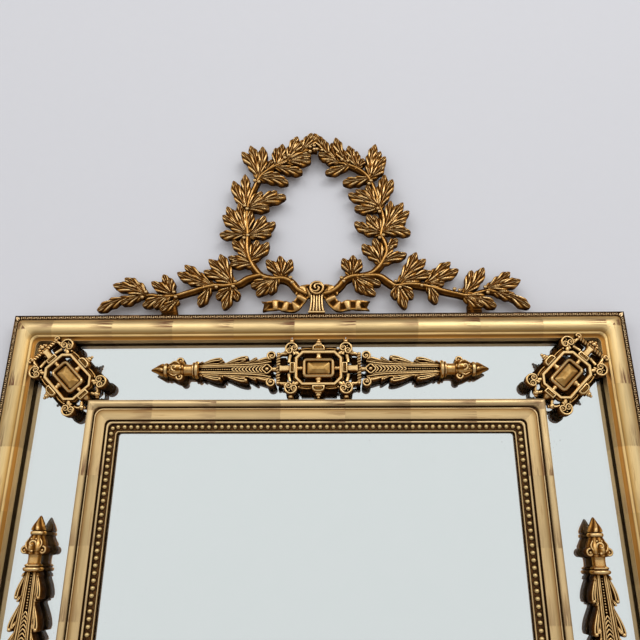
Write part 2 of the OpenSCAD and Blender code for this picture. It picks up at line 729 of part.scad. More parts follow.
module end_bar(side) {
  translate([side * end_bar_x, 0, 0]) {
    centred_block(end_bar_w, end_bar_l, cartouche_lift - 2, cartouche_h - 4);
    for (s = [-1, 1])
      translate([0, s * end_bar_l / 2, cartouche_lift + 2]) sphere(r = end_bar_w / 2);
  }
  translate([side * (ring_l / 2 + end_bar_x) / 2, 0, 0])
    centred_block(end_bar_x - ring_l / 2, end_neck_w, cartouche_lift - 2, cartouche_h - 5);
}

module at_cartouche(side) {
  shift = side == 0 ? top_shift : 0;
  at_side(side, frame_w, frame_h)
    translate([shift, -outer_rail_w - margin_w / 2, glass_front_d]) children();
}

module cartouche(side) {
  tab_l = margin_w / 2 - lobe_y - lobe_r + lobe_wall / 2;
  color("darkgoldenrod") front_view() difference() {
    at_cartouche(side) {
      cartouche_core();
      scroll_lobes();
      for (sx = [-1, 1], sy = [-1, 1])
        translate([sx * lobe_x, sy * (margin_w / 2 - tab_l / 2), 0])
          centred_block(tab_w, tab_l, 2, lobe_floor_h + 5);
      end_bar(-1);
      end_bar(1);
    }
    ornament_pin_shapes(hole_clear);
  }
}

// The same cartouche set across a corner, with a bud toward the outer corner
module corner_ornament(corner) {
  s = corner_sign(corner);
  inner_corner_x = sqrt(2) * (margin_w - lobe_reach);
  tongue_l = inner_corner_x - ring_l / 2;
  tongue_w = 2;
  finial_r = 4;
  cut_gap = 1.5;
  color("darkgoldenrod") front_view() difference() {
    translate([s[0] * corner_x, s[1] * corner_y, glass_front_d])
      rotate([0, 0, atan2(s[1], s[0])]) {
        cartouche_core();
        scroll_lobes();
        difference() {
          end_bar(1);
          translate([end_bar_x, 0, 0]) for (sy = [-1, 1])
            translate([0, sy * (end_bar_l / 2 + cut_gap), 0])
              centred_block(2 * end_bar_w, end_bar_w, 0, cartouche_h);
        }
        translate([end_bar_x + end_bar_w, 0, cartouche_lift + 1]) sphere(r = finial_r);
        translate([-inner_corner_x + tongue_l / 2, 0, 0])
          centred_block(tongue_l, tongue_w, cartouche_lift - 2, cartouche_h - 8);
      }
    ornament_pin_shapes(hole_clear);
  }
}

module turned_end() {
  clip_w = 4 * turned_axis_h;
  intersection() {
    translate([collar_x, 0, turned_axis_h]) rotate([0, 90, 0])
      rotate_extrude() polygon([for (p = TURNED_END) [p[1], p[0]]]);
    translate([collar_x - 1, -clip_w / 2, 0]) cube([spray_reach - collar_x + 2, clip_w, clip_w]);
  }
}

module volute(sy) {
  volute_y = spray_root_w + volute_r - 1;
  volute_gap = 0.5;
  volute_wall = 2;
  volute_rise = 6;
  volute_depth = 4;
  volute_eye_r = 2.2;
  translate([spray_root_x + volute_r + volute_gap, sy * volute_y, 0]) {
    difference() {
      cylinder(r = volute_r, h = spray_h + volute_rise);
      translate([0, 0, spray_h + volute_rise - volute_depth])
        cylinder(r = volute_r - volute_wall, h = 2 * volute_depth);
    }
    cylinder(r = volute_eye_r, h = spray_h + volute_rise - 1);
  }
}

// A tapering acanthus spray with volutes at its root and a turned end
module spray_shape() {
  root_x = spray_root_x + 6;
  body_l = collar_x - root_x;
  rib_top = spray_h + 4;
  leaf_top = spray_h + 2;
  knob_r = 4.5;
  shoulder_y = 17;
  shoulder_l = 20;
  linear_extrude(height = spray_h)
    polygon([[root_x, -spray_root_w], [root_x + 6, -spray_root_w + 1],
             [root_x + body_l * 0.5, -spray_end_w - 2], [collar_x + 1, -spray_end_w],
             [collar_x + 1, spray_end_w], [root_x + body_l * 0.5, spray_end_w + 2],
             [root_x + 6, spray_root_w - 1], [root_x, spray_root_w]]);
  linear_extrude(height = rib_top)
    polygon([[root_x, -4], [collar_x + 1, -2], [collar_x + 1, 2], [root_x, 4]]);
  translate([root_x + 4, 0, leaf_top]) sphere(r = knob_r);
  translate([(spray_root_x + root_x) / 2 + 1, 0, 0])
    centred_block(root_x - spray_root_x + 2, end_neck_w, cartouche_lift - 2, rib_top + 1);
  for (sy = [-1, 1]) {
    volute(sy);
    linear_extrude(height = leaf_top)
      polygon([[root_x, sy * 8], [root_x + shoulder_l, sy * 8], [root_x + 4, sy * shoulder_y],
               [root_x, sy * shoulder_y]]);
    for (tip = [[0.12, 0.34, 17], [0.46, 0.69, 14.5]])
      linear_extrude(height = leaf_top)
        polygon([[root_x + tip[0] * body_l, sy * 7], [root_x + (tip[1] + 0.06) * body_l, sy * 5],
                 [root_x + tip[1] * body_l, sy * tip[2]],
                 [root_x + (tip[1] - 0.09) * body_l, sy * (tip[2] - 1)]]);
  }
  turned_end();
}

// End 0 points to the left of a top cartouche and end 1 to its right
module spray(side, end) {
  color("darkgoldenrod") front_view() at_cartouche(side)
    mirror([end == 0 ? 1 : 0, 0, 0]) spray_shape();
}

module ornament_pins() {
  color("silver") front_view() ornament_pin_shapes();
}

// A laurel leaf from its base to its tip, with a raised midrib; drop lowers its top
module leaf(base, tip, drop) {
  d = tip - base;
  len = norm(d);
  edge_drop = 4;
  half_w = min(leaf_w_max, leaf_w_min + len * 0.1) / 2;
  half_widths = [[0, 0.25], [0.2, 0.6], [0.45, 0.9], [0.7, 1], [0.9, 0.62], [1, 0.12]];
  outline = concat([for (p = half_widths) [p[0] * len, p[1] * half_w]],
                   [for (i = [len(half_widths) - 1:-1:0])
                     [half_widths[i][0] * len, -half_widths[i][1] * half_w]]);
  translate([base[0], base[1], crest_back_d]) rotate([0, 0, atan2(d[1], d[0])]) hull() {
    linear_extrude(height = crest_t - drop - edge_drop) polygon(outline);
    linear_extrude(height = crest_t - drop)
      polygon([[0.1 * len, -1], [0.75 * len, -1], [0.95 * len, 0], [0.75 * len, 1],
               [0.1 * len, 1]]);
  }
}

// Direction of a path at one of its points
function path_dir(path, i) =
  let (a = path[max(i - 1, 0)], b = path[min(i + 1, len(path) - 1)]) (b - a) / norm(b - a);

// A tapering stem along a path in the crest's middle plane
module stem(path) {
  n = len(path);
  sides = 8;
  mid_d = crest_back_d + crest_t / 2;
  points = [for (i = [0:n - 1]) let (t = path_dir(path, i), p = path[i],
                                     r = stem_r + (stem_tip_r - stem_r) * i / (n - 1))
             for (k = [0:sides - 1]) let (a = 360 * k / sides)
               [p[0] - t[1] * r * cos(a), p[1] + t[0] * r * cos(a), mid_d + r * sin(a)]];
  walls = [for (i = [0:n - 2], k = [0:sides - 1]) let (m = (k + 1) % sides)
            [i * sides + k, (i + 1) * sides + k, (i + 1) * sides + m, i * sides + m]];
  polyhedron(points, concat(walls, [[for (k = [0:sides - 1]) k]],
                            [[for (k = [sides - 1:-1:0]) (n - 1) * sides + k]]));
}

// The place on a stretch of stem from a to b that is nearest to p
function near_stretch(a, b, p) =
  a + (b - a) * max(0, min(1, ((p - a) * (b - a)) / ((b - a) * (b - a))));

// A wanted place for a berry, drawn in until its stalk stands in the stem
function berry_place(path, p) =
  let (places = [for (i = [0:len(path) - 2]) near_stretch(path[i], path[i + 1], p)],
       gaps = [for (q = places) norm(p - q)],
       q = places[search(min(gaps), gaps)[0]],
       reach = stem_tip_r + berry_r - 2)
  q + (p - q) * min(1, reach / max(reach, norm(p - q)));

// A berry on a short stalk
module berry(place) {
  centre_d = crest_front_d - berry_r + berry_rise;
  stalk_d = crest_back_d + crest_t / 2;
  stalk_r = berry_r - 0.7;
  translate([place[0], place[1], centre_d]) sphere(r = berry_r, $fn = 8);
  translate([place[0], place[1], stalk_d])
    cylinder(r = stalk_r, h = centre_d - stalk_d, $fn = 8);
}

module branch_shape(path, leaves, berries) {
  translate([0, frame_h / 2, 0]) {
    stem(path);
    for (i = [0:len(leaves) - 1], j = [0:len(leaves[i][1]) - 1])
      leaf(leaves[i][0], leaves[i][1][j], leaf_step * ((3 * i + 2 * j) % 7));
    for (b = berries) berry(berry_place(path, b));
  }
}

module foot_shape(foot) {
  translate([foot[0], frame_h / 2, crest_back_d]) cube([foot[1] - foot[0], foot[2], crest_t]);
}

module wreath_left_shape() {
  branch_shape(WREATH_LEFT_STEM, WREATH_LEFT_LEAVES, WREATH_LEFT_BERRIES);
}

module wreath_right_shape() {
  branch_shape(WREATH_RIGHT_STEM, WREATH_RIGHT_LEAVES, WREATH_RIGHT_BERRIES);
}

// Outline of a ribbon of even width along a path
function ribbon_outline(path, w) =
  concat([for (i = [0:len(path) - 1]) let (t = path_dir(path, i)) path[i] + [-t[1], t[0]] * w / 2],
         [for (i = [len(path) - 1:-1:0]) let (t = path_dir(path, i))
           path[i] - [-t[1], t[0]] * w / 2]);

module ribbon(path, w, z0, z1) {
  translate([0, 0, z0]) linear_extrude(height = z1 - z0) polygon(ribbon_outline(path, w));
}

// The knot, the fluted strap below it and the two ribbon tails
module bow_shape() {
  knot_rise = 2;
  ribbon_drop = 2;
  loop_w = ribbon_w + 2;
  strap_half_w = 12;
  waist_w = 8.5;
  flute_x = 3.6;
  flute_w = 2;
  flute_depth = 1.5;
  translate([0, frame_h / 2, 0]) {
    translate([BOW_CENTRE[0], BOW_CENTRE[1], crest_back_d])
      cylinder(r = knot_r, h = crest_t + knot_rise);
    for (loop = [LOOP_LEFT, LOOP_RIGHT])
      ribbon(loop, loop_w, crest_back_d, crest_front_d - ribbon_drop);
    for (tail = [RIBBON_LEFT, RIBBON_RIGHT])
      ribbon(tail, ribbon_w, crest_back_d + ribbon_drop, crest_front_d - ribbon_drop);
    difference() {
      translate([BOW_CENTRE[0], 0, crest_back_d]) linear_extrude(height = crest_t)
        polygon([[-strap_half_w, 0], [strap_half_w, 0], [waist_w + 0.5, 6], [waist_w, 27],
                 [knot_r - 1, BOW_CENTRE[1]], [1 - knot_r, BOW_CENTRE[1]], [-waist_w, 27],
                 [-waist_w - 0.5, 6]]);
      for (i = [-1, 1])
        translate([BOW_CENTRE[0] + i * flute_x - flute_w / 2, 4, crest_front_d - flute_depth])
          cube([flute_w, 22, 2 * flute_depth]);
    }
  }
}

module crest_wreath_left() {
  color("darkgoldenrod") front_view() difference() {
    wreath_left_shape();
    bow_shape();
  }
}

module crest_wreath_right() {
  color("darkgoldenrod") front_view() difference() {
    wreath_right_shape();
    wreath_left_shape();
    bow_shape();
  }
}

module crest_spray_left() {
  color("darkgoldenrod") front_view() difference() {
    union() {
      branch_shape(SPRAY_LEFT_STEM, SPRAY_LEFT_LEAVES, SPRAY_LEFT_BERRIES);
      foot_shape(SPRAY_LEFT_FOOT);
    }
    wreath_left_shape();
    dowel_shapes(hole_clear);
  }
}

module crest_spray_right() {
  color("darkgoldenrod") front_view() difference() {
    union() {
      branch_shape(SPRAY_RIGHT_STEM, SPRAY_RIGHT_LEAVES, SPRAY_RIGHT_BERRIES);
      foot_shape(SPRAY_RIGHT_FOOT);
    }
    wreath_right_shape();
    dowel_shapes(hole_clear);
  }
}

module crest_bow() {
  color("darkgoldenrod") front_view() difference() {
    bow_shape();
    dowel_shapes(hole_clear);
  }
}

module crest_dowels() {
  color("burlywood") front_view() dowel_shapes();
}

// Pocket in the back of a side rail, and the holes for the strap's screws
module hanger_cuts(side) {
  top_y = hinge_y + ring_drop + pocket_clear;
  bottom_y = hinge_y - strap_l - pocket_clear;
  translate([side * hanger_x - pocket_w / 2, bottom_y, -1])
    cube([pocket_w, top_y - bottom_y, pocket_d + 1]);
  strap_screw_shapes(side, hole_clear);
}

module strap_screw_shapes(side, clear = 0) {
  strap_screw_shares = [0.35, 0.8];
  for (share = strap_screw_shares)
    translate([side * hanger_x, hinge_y - share * strap_l, pocket_d - strap_t])
      wood_screw(strap_screw_head, strap_screw_d, strap_screw_l, clear);
}

module hanger_strap(side) {
  color("silver") front_view() difference() {
    union() {
      translate([side * hanger_x - strap_w / 2, hinge_y - strap_l, pocket_d - strap_t])
        cube([strap_w, strap_l, strap_t]);
      translate([side * hanger_x - strap_w / 2, hinge_y, hinge_d]) rotate([0, 90, 0])
        cylinder(r = loop_r, h = strap_w);
    }
    translate([side * hanger_x - strap_w, hinge_y, hinge_d]) rotate([0, 90, 0])
      cylinder(r = loop_bore_r, h = 2 * strap_w);
    strap_screw_shapes(side, hole_clear);
  }
}

// A ring shaped like the letter D, hanging down from the loop of its strap
module hanging_ring(side) {
  wire_r = ring_wire_d / 2;
  color("silver") front_view() translate([side * hanger_x, hinge_y, hinge_d]) {
    translate([-ring_r, 0, 0]) rotate([0, 90, 0]) cylinder(r = wire_r, h = ring_span);
    for (s = [-1, 1]) {
      translate([s * ring_r, 0, 0]) sphere(r = wire_r);
      translate([s * ring_r, -ring_leg, 0]) rotate([-90, 0, 0])
        cylinder(r = wire_r, h = ring_leg);
    }
    translate([0, -ring_leg, 0]) rotate([0, 0, 180])
      rotate_extrude(angle = 180) translate([ring_r, 0]) circle(r = wire_r);
  }
}

module hanger_screws() {
  color("silver") front_view() for (side = [-1, 1]) strap_screw_shapes(side);
}

for (side = [0:3]) {
  outer_rail(side);
  inner_rail(side);
  pearl_strip(side);
  margin_glass(side);
  cartouche(side);
  corner_ornament(side);
  spray(side, 0);
  spray(side, 1);
}
outer_corner_keys();
inner_corner_keys();
centre_glass();
backing_board();
back_panel();
panel_screws();
inner_frame_screws();
ornament_pins();
crest_wreath_left();
crest_wreath_right();
crest_spray_left();
crest_spray_right();
crest_bow();
crest_dowels();
hanger_strap(-1);  // hanger_strap_left
hanger_strap(1);  // hanger_strap_right
hanging_ring(-1);  // hanging_ring_left
hanging_ring(1);  // hanging_ring_right
hanger_screws();
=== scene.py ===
"""Looks of the gilt wall mirror: carved crest, castings, leafed rails, glass and hangers.

Shapes are drawn in millimetres in a front view: right, up, and height above the wall.
place() turns them to the frame: +X right, +Z up, front along -Y, wall at y = 0.
"""

import bpy
import json
import math
import random
import numpy as np
from mathutils import Matrix, Vector

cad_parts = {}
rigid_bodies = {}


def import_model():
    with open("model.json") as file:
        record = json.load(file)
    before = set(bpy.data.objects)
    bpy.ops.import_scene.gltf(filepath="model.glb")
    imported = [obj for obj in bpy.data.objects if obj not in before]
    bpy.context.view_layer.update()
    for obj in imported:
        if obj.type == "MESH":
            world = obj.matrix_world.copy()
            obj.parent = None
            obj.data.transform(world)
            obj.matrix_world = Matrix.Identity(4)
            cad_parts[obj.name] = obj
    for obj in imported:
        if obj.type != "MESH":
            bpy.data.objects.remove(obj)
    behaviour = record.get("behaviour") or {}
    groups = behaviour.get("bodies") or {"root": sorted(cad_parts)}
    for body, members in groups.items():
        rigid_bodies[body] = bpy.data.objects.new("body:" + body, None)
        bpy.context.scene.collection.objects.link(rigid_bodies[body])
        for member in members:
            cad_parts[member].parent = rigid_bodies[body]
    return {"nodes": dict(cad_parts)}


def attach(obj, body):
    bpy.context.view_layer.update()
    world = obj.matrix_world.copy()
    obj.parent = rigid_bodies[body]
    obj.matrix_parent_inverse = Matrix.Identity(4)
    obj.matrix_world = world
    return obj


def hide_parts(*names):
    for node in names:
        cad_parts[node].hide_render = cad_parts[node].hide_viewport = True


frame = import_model()
bpy.context.scene.view_settings.view_transform = "Standard"
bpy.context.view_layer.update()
BODY = "mirror"
SIDES = ("top", "left", "bottom", "right")
CORNERS = ("top_left", "bottom_left", "bottom_right", "top_right")
MM = 0.001

# Driving sizes, the same as in the construction
FRAME_W = 800.0
FRAME_H = 940.0
OUTER_RAIL_W = 37.5
MARGIN_W = 80.0
GLASS_FRONT = 12.0
GLASS_T = 2.8
PANEL_T = 8.0
CENTRE_FRONT = 22.0
TOP_SHIFT = 5.5
LOBE_X = 34.5
LOBE_Y = 25.5
LOBE_R = 8.0
INNER_W = FRAME_W - 2 * (OUTER_RAIL_W + MARGIN_W)
INNER_H = FRAME_H - 2 * (OUTER_RAIL_W + MARGIN_W)
LOBE_REACH = (LOBE_X + LOBE_Y) / math.sqrt(2) + LOBE_R
CORNER_X = FRAME_W / 2 - OUTER_RAIL_W - LOBE_REACH
CORNER_Y = FRAME_H / 2 - OUTER_RAIL_W - LOBE_REACH
TOP = FRAME_H / 2
OUTER_SIZE = (FRAME_W, FRAME_H)
INNER_SIZE = (INNER_W, INNER_H)

# Up to this height an outer rail is the construction's piece, and above it a leafed front
RAIL_SPLIT = 12.2
# The backs of the castings' feet above the margin glass, and of the crest above the wall
CAST_FLOOR = 0.3
CREST_FLOOR = 8.1
# The back and the highest front of a leaf, and the height that its relief is set on
LEAF_FLOOR = 8.05
LEAF_FRONT = 20.6
LEAF_CREST = 19.5
# Leaf tips above this level keep only this share of what stands past it
TIP_LEVEL = 756.6
TIP_SHARE = 0.6

# The photograph's camera
CAMERA_PLACE = (0.0342, -0.8131, 0.1570)
CAMERA_TILT = 20.936
CAMERA_PAN = 1.988
CAMERA_ROLL = 0.312
FOCAL_PX = 650.0
PICTURE_PX = 640.0
SENSOR_MM = 36.0


# Shapes

def layers(outline, table):
    """Outlines and values of a table that holds inset, height and a value of gilding and painted
    shade.
    """
    return ([level(outline(inset), z) for inset, z, _ in table],
            [shine for _, _, shine in table])


def full_turn(count):
    """Angles all round, in radians."""
    return np.linspace(0, 2 * math.pi, count, endpoint=False)


def turned(points, degrees):
    """Points of the front view turned about the origin; heights stay as they are."""
    c, s = math.cos(math.radians(degrees)), math.sin(math.radians(degrees))
    out = np.array(points, float)
    out[:, 0], out[:, 1] = (points[:, 0] * c - points[:, 1] * s,
                            points[:, 0] * s + points[:, 1] * c)
    return out


class Shape:
    """Closed shells gathered in drawing millimetres, with a per-corner value of gilding and painted
    light and shade.
    """

    def __init__(self):
        self.points = []
        self.gilt = []
        self.faces = []
        self.slots = []
        self.count = 0

    def add(self, points, faces, gilt=1.0, slot=0):
        points = np.asarray(points, float)
        self.points.append(points)
        self.gilt.append(np.broadcast_to(np.asarray(gilt, float), len(points)))
        start = self.count
        self.faces += [tuple(i + start for i in face) for face in faces]
        self.slots += [slot] * len(faces) if np.isscalar(slot) else list(slot)
        self.count += len(points)

    def add_shape(self, other, turn=0.0, shift=(0, 0, 0), flip=False):
        """Another shape, mirrored left to right, turned and shifted in the front view."""
        points = np.vstack(other.points).copy()
        if flip:
            points[:, 0] *= -1
        points = turned(points, turn) + np.asarray(shift, float)
        faces = turned_over(other.faces) if flip else other.faces
        self.add(points, faces, np.concatenate(other.gilt), other.slots)


def grid_faces(rows, cols, close_rows=False, close_cols=False):
    """Quads of a grid whose corner (i, j) is number i * cols + j."""
    faces = []
    for i in range(rows if close_rows else rows - 1):
        for j in range(cols if close_cols else cols - 1):
            i2, j2 = (i + 1) % rows, (j + 1) % cols
            faces.append((i * cols + j, i2 * cols + j, i2 * cols + j2, i * cols + j2))
    return faces


def turned_over(faces):
    """The same faces seen from their other side."""
    return [face[::-1] for face in faces]


def shell_faces(rows, cols):
    """The faces of a tube of closed rings, capped at both ends."""
    faces = grid_faces(rows, cols, close_cols=True)
    faces.append(tuple(range(cols)))
    faces.append(tuple((rows - 1) * cols + j for j in range(cols - 1, -1, -1)))
    return faces


def spread(value, count):
    """A number, or a list of them along a path, as one number per point."""
    value = np.asarray(value, float)
    if value.ndim == 0:
        return np.full(count, float(value))
    return np.interp(np.linspace(0, 1, count), np.linspace(0, 1, len(value)), value)


def smooth_path(points, step=1.5):
    """A smooth curve through points, with a point about every step millimetres."""
    points = np.asarray(points, float)
    if len(points) < 3:
        count = max(2, int(np.linalg.norm(points[-1] - points[0]) / step) + 1)
        return np.linspace(points[0], points[-1], count)
    ends = np.vstack([2 * points[0] - points[1], points, 2 * points[-1] - points[-2]])
    out = []
    for i in range(len(points) - 1):
        a, b, c, d = ends[i:i + 4]
        count = max(2, int(np.linalg.norm(c - b) / step) + 1)
        for t in np.arange(count) / count:
            out.append(0.5 * (2 * b + (c - a) * t + (2 * a - 5 * b + 4 * c - d) * t ** 2
                              + (3 * b - a - 3 * c + d) * t ** 3))
    out.append(points[-1])
    return np.array(out)


def side_vectors(path, closed=False):
    """Unit vectors to the left of a flat path."""
    if closed:
        along = np.roll(path, -1, 0) - np.roll(path, 1, 0)
    else:
        along = np.gradient(path, axis=0)
    along /= np.maximum(np.linalg.norm(along, axis=1, keepdims=True), 1e-9)
    return np.stack([-along[:, 1], along[:, 0]], 1)


# Across, up and gilding value of a ridge's section: painted shade on the walls, painted light on the
# crown
ROUND_RIDGE = ((-1.0, 0.0, 0.0), (-1.0, 0.45, 0.25), (-0.82, 0.8, 0.65), (-0.42, 0.96, 0.95),
               (0.0, 1.0, 1.0), (0.42, 0.96, 0.95), (0.82, 0.8, 0.65), (1.0, 0.45, 0.25),
               (1.0, 0.0, 0.0))


def ridge(shape, path, half_w, top, floor, closed=False, gilt=1.0):
    """A raised strap along a flat path: round on top, with upright walls down to floor."""
    path = np.asarray(path, float)
    n = len(path)
    half_w, top, floor = spread(half_w, n), spread(top, n), spread(floor, n)
    crown = np.minimum(half_w, top - floor)
    side = side_vectors(path, closed)
    rings, values = [], []
    for across, up, shine in ROUND_RIDGE:
        z = top - crown * (1 - up) / 0.55 if up > 0 else floor
        z = np.maximum(z, floor)
        xy = path - side * (across * half_w)[:, None]
        rings.append(np.column_stack([xy, z]))
        values.append(np.full(n, shine * gilt))
    cols = len(rings)
    points = np.stack(rings, 1).reshape(-1, 3)
    faces = (grid_faces(n, cols, close_rows=True, close_cols=True) if closed
             else shell_faces(n, cols))
    shape.add(points, turned_over(faces), np.stack(values, 1).reshape(-1))


def tube(shape, path, radius, sides=10, gilt=1.0, lobes=0):
    """A round bar along a path in space, with optional lengthwise flutes."""
    path = np.asarray(path, float)
    n = len(path)
    radius = spread(radius, n)
    along = np.gradient(path, axis=0)
    along /= np.linalg.norm(along, axis=1, keepdims=True)
    across = np.cross(np.tile([0.0, 0.0, 1.0], (n, 1)), along)
    across /= np.maximum(np.linalg.norm(across, axis=1, keepdims=True), 1e-9)
    up = np.cross(along, across)
    angle = full_turn(sides)
    wave = 1 + 0.13 * np.cos(lobes * angle) * (lobes > 0)
    ring = (across[:, None, :] * (np.cos(angle) * wave)[None, :, None]
            + up[:, None, :] * (np.sin(angle) * wave)[None, :, None])
    points = path[:, None, :] + ring * radius[:, None, None]
    # Painted light on the front of the bar, painted shade at its back and between the flutes
    shine = np.clip(0.5 + 0.7 * np.sin(angle), 0, 1) * np.clip((wave - 0.85) * 4, 0.25, 1)
    shape.add(points.reshape(-1, 3), turned_over(shell_faces(n, sides)),
              np.tile(shine, n) * gilt)


def dome(shape, centre, radii, top, floor, gilt=1.0, segments=16, rings=5):
    """An oval button: a domed top on an upright wall."""
    angle = full_turn(segments)
    height = min(radii[0], radii[1], top - floor)
    # Painted shade on the wall, and painted light rising to the top
    levels = [(1.0, floor, 0.05), (1.0, top - height, 0.4)]
    for k in range(1, rings):
        lift = math.radians(90 * k / rings)
        levels.append((math.cos(lift), top - height + height * math.sin(lift),
                       0.55 + 0.45 * math.sin(lift)))
    points = [np.column_stack([centre[0] + radii[0] * share * np.cos(angle),
                               centre[1] + radii[1] * share * np.sin(angle),
                               np.full(segments, z)]) for share, z, _ in levels]
    values = [np.full(segments, value) for _, _, value in levels]
    count = len(points)
    points = np.vstack(points + [np.array([[centre[0], centre[1], top]])])
    values = np.concatenate(values + [np.array([1.0])])
    faces = grid_faces(count, segments, close_cols=True)
    tip = count * segments
    base = (count - 1) * segments
    faces += [(base + j, tip, base + (j + 1) % segments) for j in range(segments)]
    faces.append(tuple(range(segments)))
    shape.add(points, turned_over(faces), values * gilt)


def stud(shape, centre, radii, top, floor):
    """A small button."""
    dome(shape, centre, radii, top, floor, segments=10, rings=3)


def ball(shape, centre, radius, segments=14, rings=9):
    """A ball, or an egg where radius is three numbers."""
    radius = np.broadcast_to(np.asarray(radius, float), 3)
    angle = full_turn(segments)
    points, values = [], []
    for k in range(1, rings):
        lift = math.pi * k / rings - math.pi / 2
        points.append(np.column_stack([np.cos(angle) * math.cos(lift),
                                       np.sin(angle) * math.cos(lift),
                                       np.full(segments, math.sin(lift))]))
        # Painted light on the front half, painted shade towards the back
        values.append(np.full(segments, min(1.0, max(0.1, 0.55 + 0.7 * math.sin(lift)))))
    count = len(points)
    points = np.vstack(points + [np.array([[0, 0, -1.0], [0, 0, 1.0]])])
    values = np.concatenate(values + [np.array([0.1, 1.0])])
    faces = grid_faces(count, segments, close_cols=True)
    low, high = count * segments, count * segments + 1
    last = (count - 1) * segments
    for j in range(segments):
        j2 = (j + 1) % segments
        faces.append((low, j, j2))
        faces.append((high, last + j2, last + j))
    shape.add(points * radius + np.asarray(centre, float), turned_over(faces), values)


def stack(shape, outlines, values, slots=0):
    """A closed solid through outlines of equal point counts, from the floor up."""
    cols = len(outlines[0])
    shape.add(np.vstack(outlines), turned_over(shell_faces(len(outlines), cols)),
              np.repeat(values, cols), slots)


def ring_band(shape, outlines, values):
    """A closed band through outlines that form a loop in section, such as a frame's bar."""
    cols = len(outlines[0])
    faces = grid_faces(len(outlines), cols, close_rows=True, close_cols=True)
    shape.add(np.vstack(outlines), turned_over(faces), np.repeat(values, cols))


def level(outline, z):
    outline = np.asarray(outline, float)
    return np.column_stack([outline, np.full(len(outline), float(z))])


def circle(centre, radius, count):
    """Points round a flat circle."""
    angle = full_turn(count)
    return np.column_stack([centre[0] + radius * np.cos(angle),
                            centre[1] + radius * np.sin(angle)])


def cut_corner_outline(length, width, cut, inset, round_points=0):
    """An oblong with cut or rounded corners, inset all round."""
    l, w = length / 2 - inset, width / 2 - inset
    c = max(0.05, cut - inset * (1 if round_points else 2 - math.sqrt(2)))
    out = []
    for sx, sy in ((1, 1), (-1, 1), (-1, -1), (1, -1)):
        if round_points:
            corner = [(l - c + c * math.cos(a), w - c + c * math.sin(a))
                      for a in np.linspace(0, math.pi / 2, round_points + 1)]
        else:
            corner = [(l, w - c), (l - c, w)]
        corner = [(sx * x, sy * y) for x, y in corner]
        out += corner if sx * sy > 0 else corner[::-1]
    return np.array(out)


def block(shape, centre, size, top, floor, bevel=0.8, gilt=1.0, panel=0.0):
    """A small block with a bevelled top and, where panel is set, a sunk face."""
    def outline(inset, z):
        return level(cut_corner_outline(size[0], size[1], 0.6, inset) + centre, z)
    rows = [outline(0, floor), outline(0, top - bevel), outline(bevel * 0.4, top - bevel * 0.3),
            outline(bevel, top)]
    # Painted shade on the walls and down in the sunk face, painted light on the bevel and top
    values = [0.05, 0.45, 0.85, 1.0]
    if panel:
        rows += [outline(bevel + 0.7, top), outline(bevel + 1.1, top - panel)]
        values += [0.95, 0.25]
    stack(shape, rows, np.array(values) * gilt)


def spiral(centre, start_r, end_r, start_deg, turn_deg, step_deg=16.0, power=0.85):
    count = max(4, int(abs(turn_deg) / step_deg) + 1)
    t = np.linspace(0, 1, count)
    r = start_r + (end_r - start_r) * t ** power
    a = np.radians(start_deg + turn_deg * t)
    return np.column_stack([centre[0] + r * np.cos(a), centre[1] + r * np.sin(a)])


def scroll(shape, centre, radius, start_deg, turn_deg, top, floor, half_w=1.2, eye=1.5):
    """A volute: a ridge that curls in to a round eye."""
    path = spiral(centre, radius, eye * 0.9, start_deg, turn_deg, power=1.4)
    ridge(shape, path, [half_w, half_w * 0.8], [top, top - 0.6], floor)
    dome(shape, centre, (eye, eye), top + 0.4, floor, segments=10, rings=4)


def lathe(shape, profile, start, axis_d, flutes, twist, flute_depth, floor):
    """A turned piece on an axis along +X; profile holds distance along and radius."""
    sides = 28
    angle = full_turn(sides)
    points, values = [], []
    profile = np.asarray(profile, float)
    peak = profile[:, 1].max()
    for s, r in profile:
        wave = np.cos(flutes * angle + twist * s) if flutes else np.zeros(sides)
        rr = r * (1 + flute_depth * wave)
        points.append(np.column_stack([np.full(sides, start + s), rr * np.cos(angle),
                                       np.maximum(axis_d + rr * np.sin(angle), floor)]))
        # Painted light on the front of the turning and its widest parts, painted shade between its
        # flutes
        front = np.clip(0.55 + 0.6 * np.sin(angle), 0.08, 1)
        values.append(front * np.clip(0.52 + 0.48 * (wave if flutes else 1), 0.05, 1)
                      * (0.55 + 0.45 * r / peak))
    shape.add(np.vstack(points), shell_faces(len(points), sides), np.concatenate(values))


# Putting a shape into the scene

def place(points):
    points = np.asarray(points, float) * MM
    return np.stack([points[:, 0], -points[:, 2], points[:, 1]], 1)


def piece(name, shape, materials, nodes, slot, smooth_deg=38.0, faceted=False):
    """Makes the Blender object of a shape, and lets it ride and stand for CAD nodes."""
    mesh = bpy.data.meshes.new(name)
    mesh.from_pydata(place(np.vstack(shape.points)).tolist(), [], shape.faces)
    values = mesh.attributes.new("gilt", "FLOAT", "POINT")
    values.data.foreach_set("value", np.concatenate(shape.gilt).astype(np.float32))
    for material in materials:
        mesh.materials.append(material)
    mesh.polygons.foreach_set("material_index", np.array(shape.slots, np.int32))
    if not faceted:
        mesh.shade_smooth()
        mesh.set_sharp_from_angle(angle=math.radians(smooth_deg))
        # The cut stones, which have the second material, stay flat
        for polygon in mesh.polygons:
            if polygon.material_index == 1:
                polygon.use_smooth = False
    mesh.update()
    obj = bpy.data.objects.new(name, mesh)
    bpy.context.scene.collection.objects.link(obj)
    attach(obj, BODY)
    if nodes:
        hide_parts(*nodes)


# Materials

SIDE_PAINT = (0.075, 0.034, 0.013)
BAND_GROUND = (0.022, 0.009, 0.003)
BARE_BACK = (0.150, 0.083, 0.036)
WOOD_STRETCH = 0.12
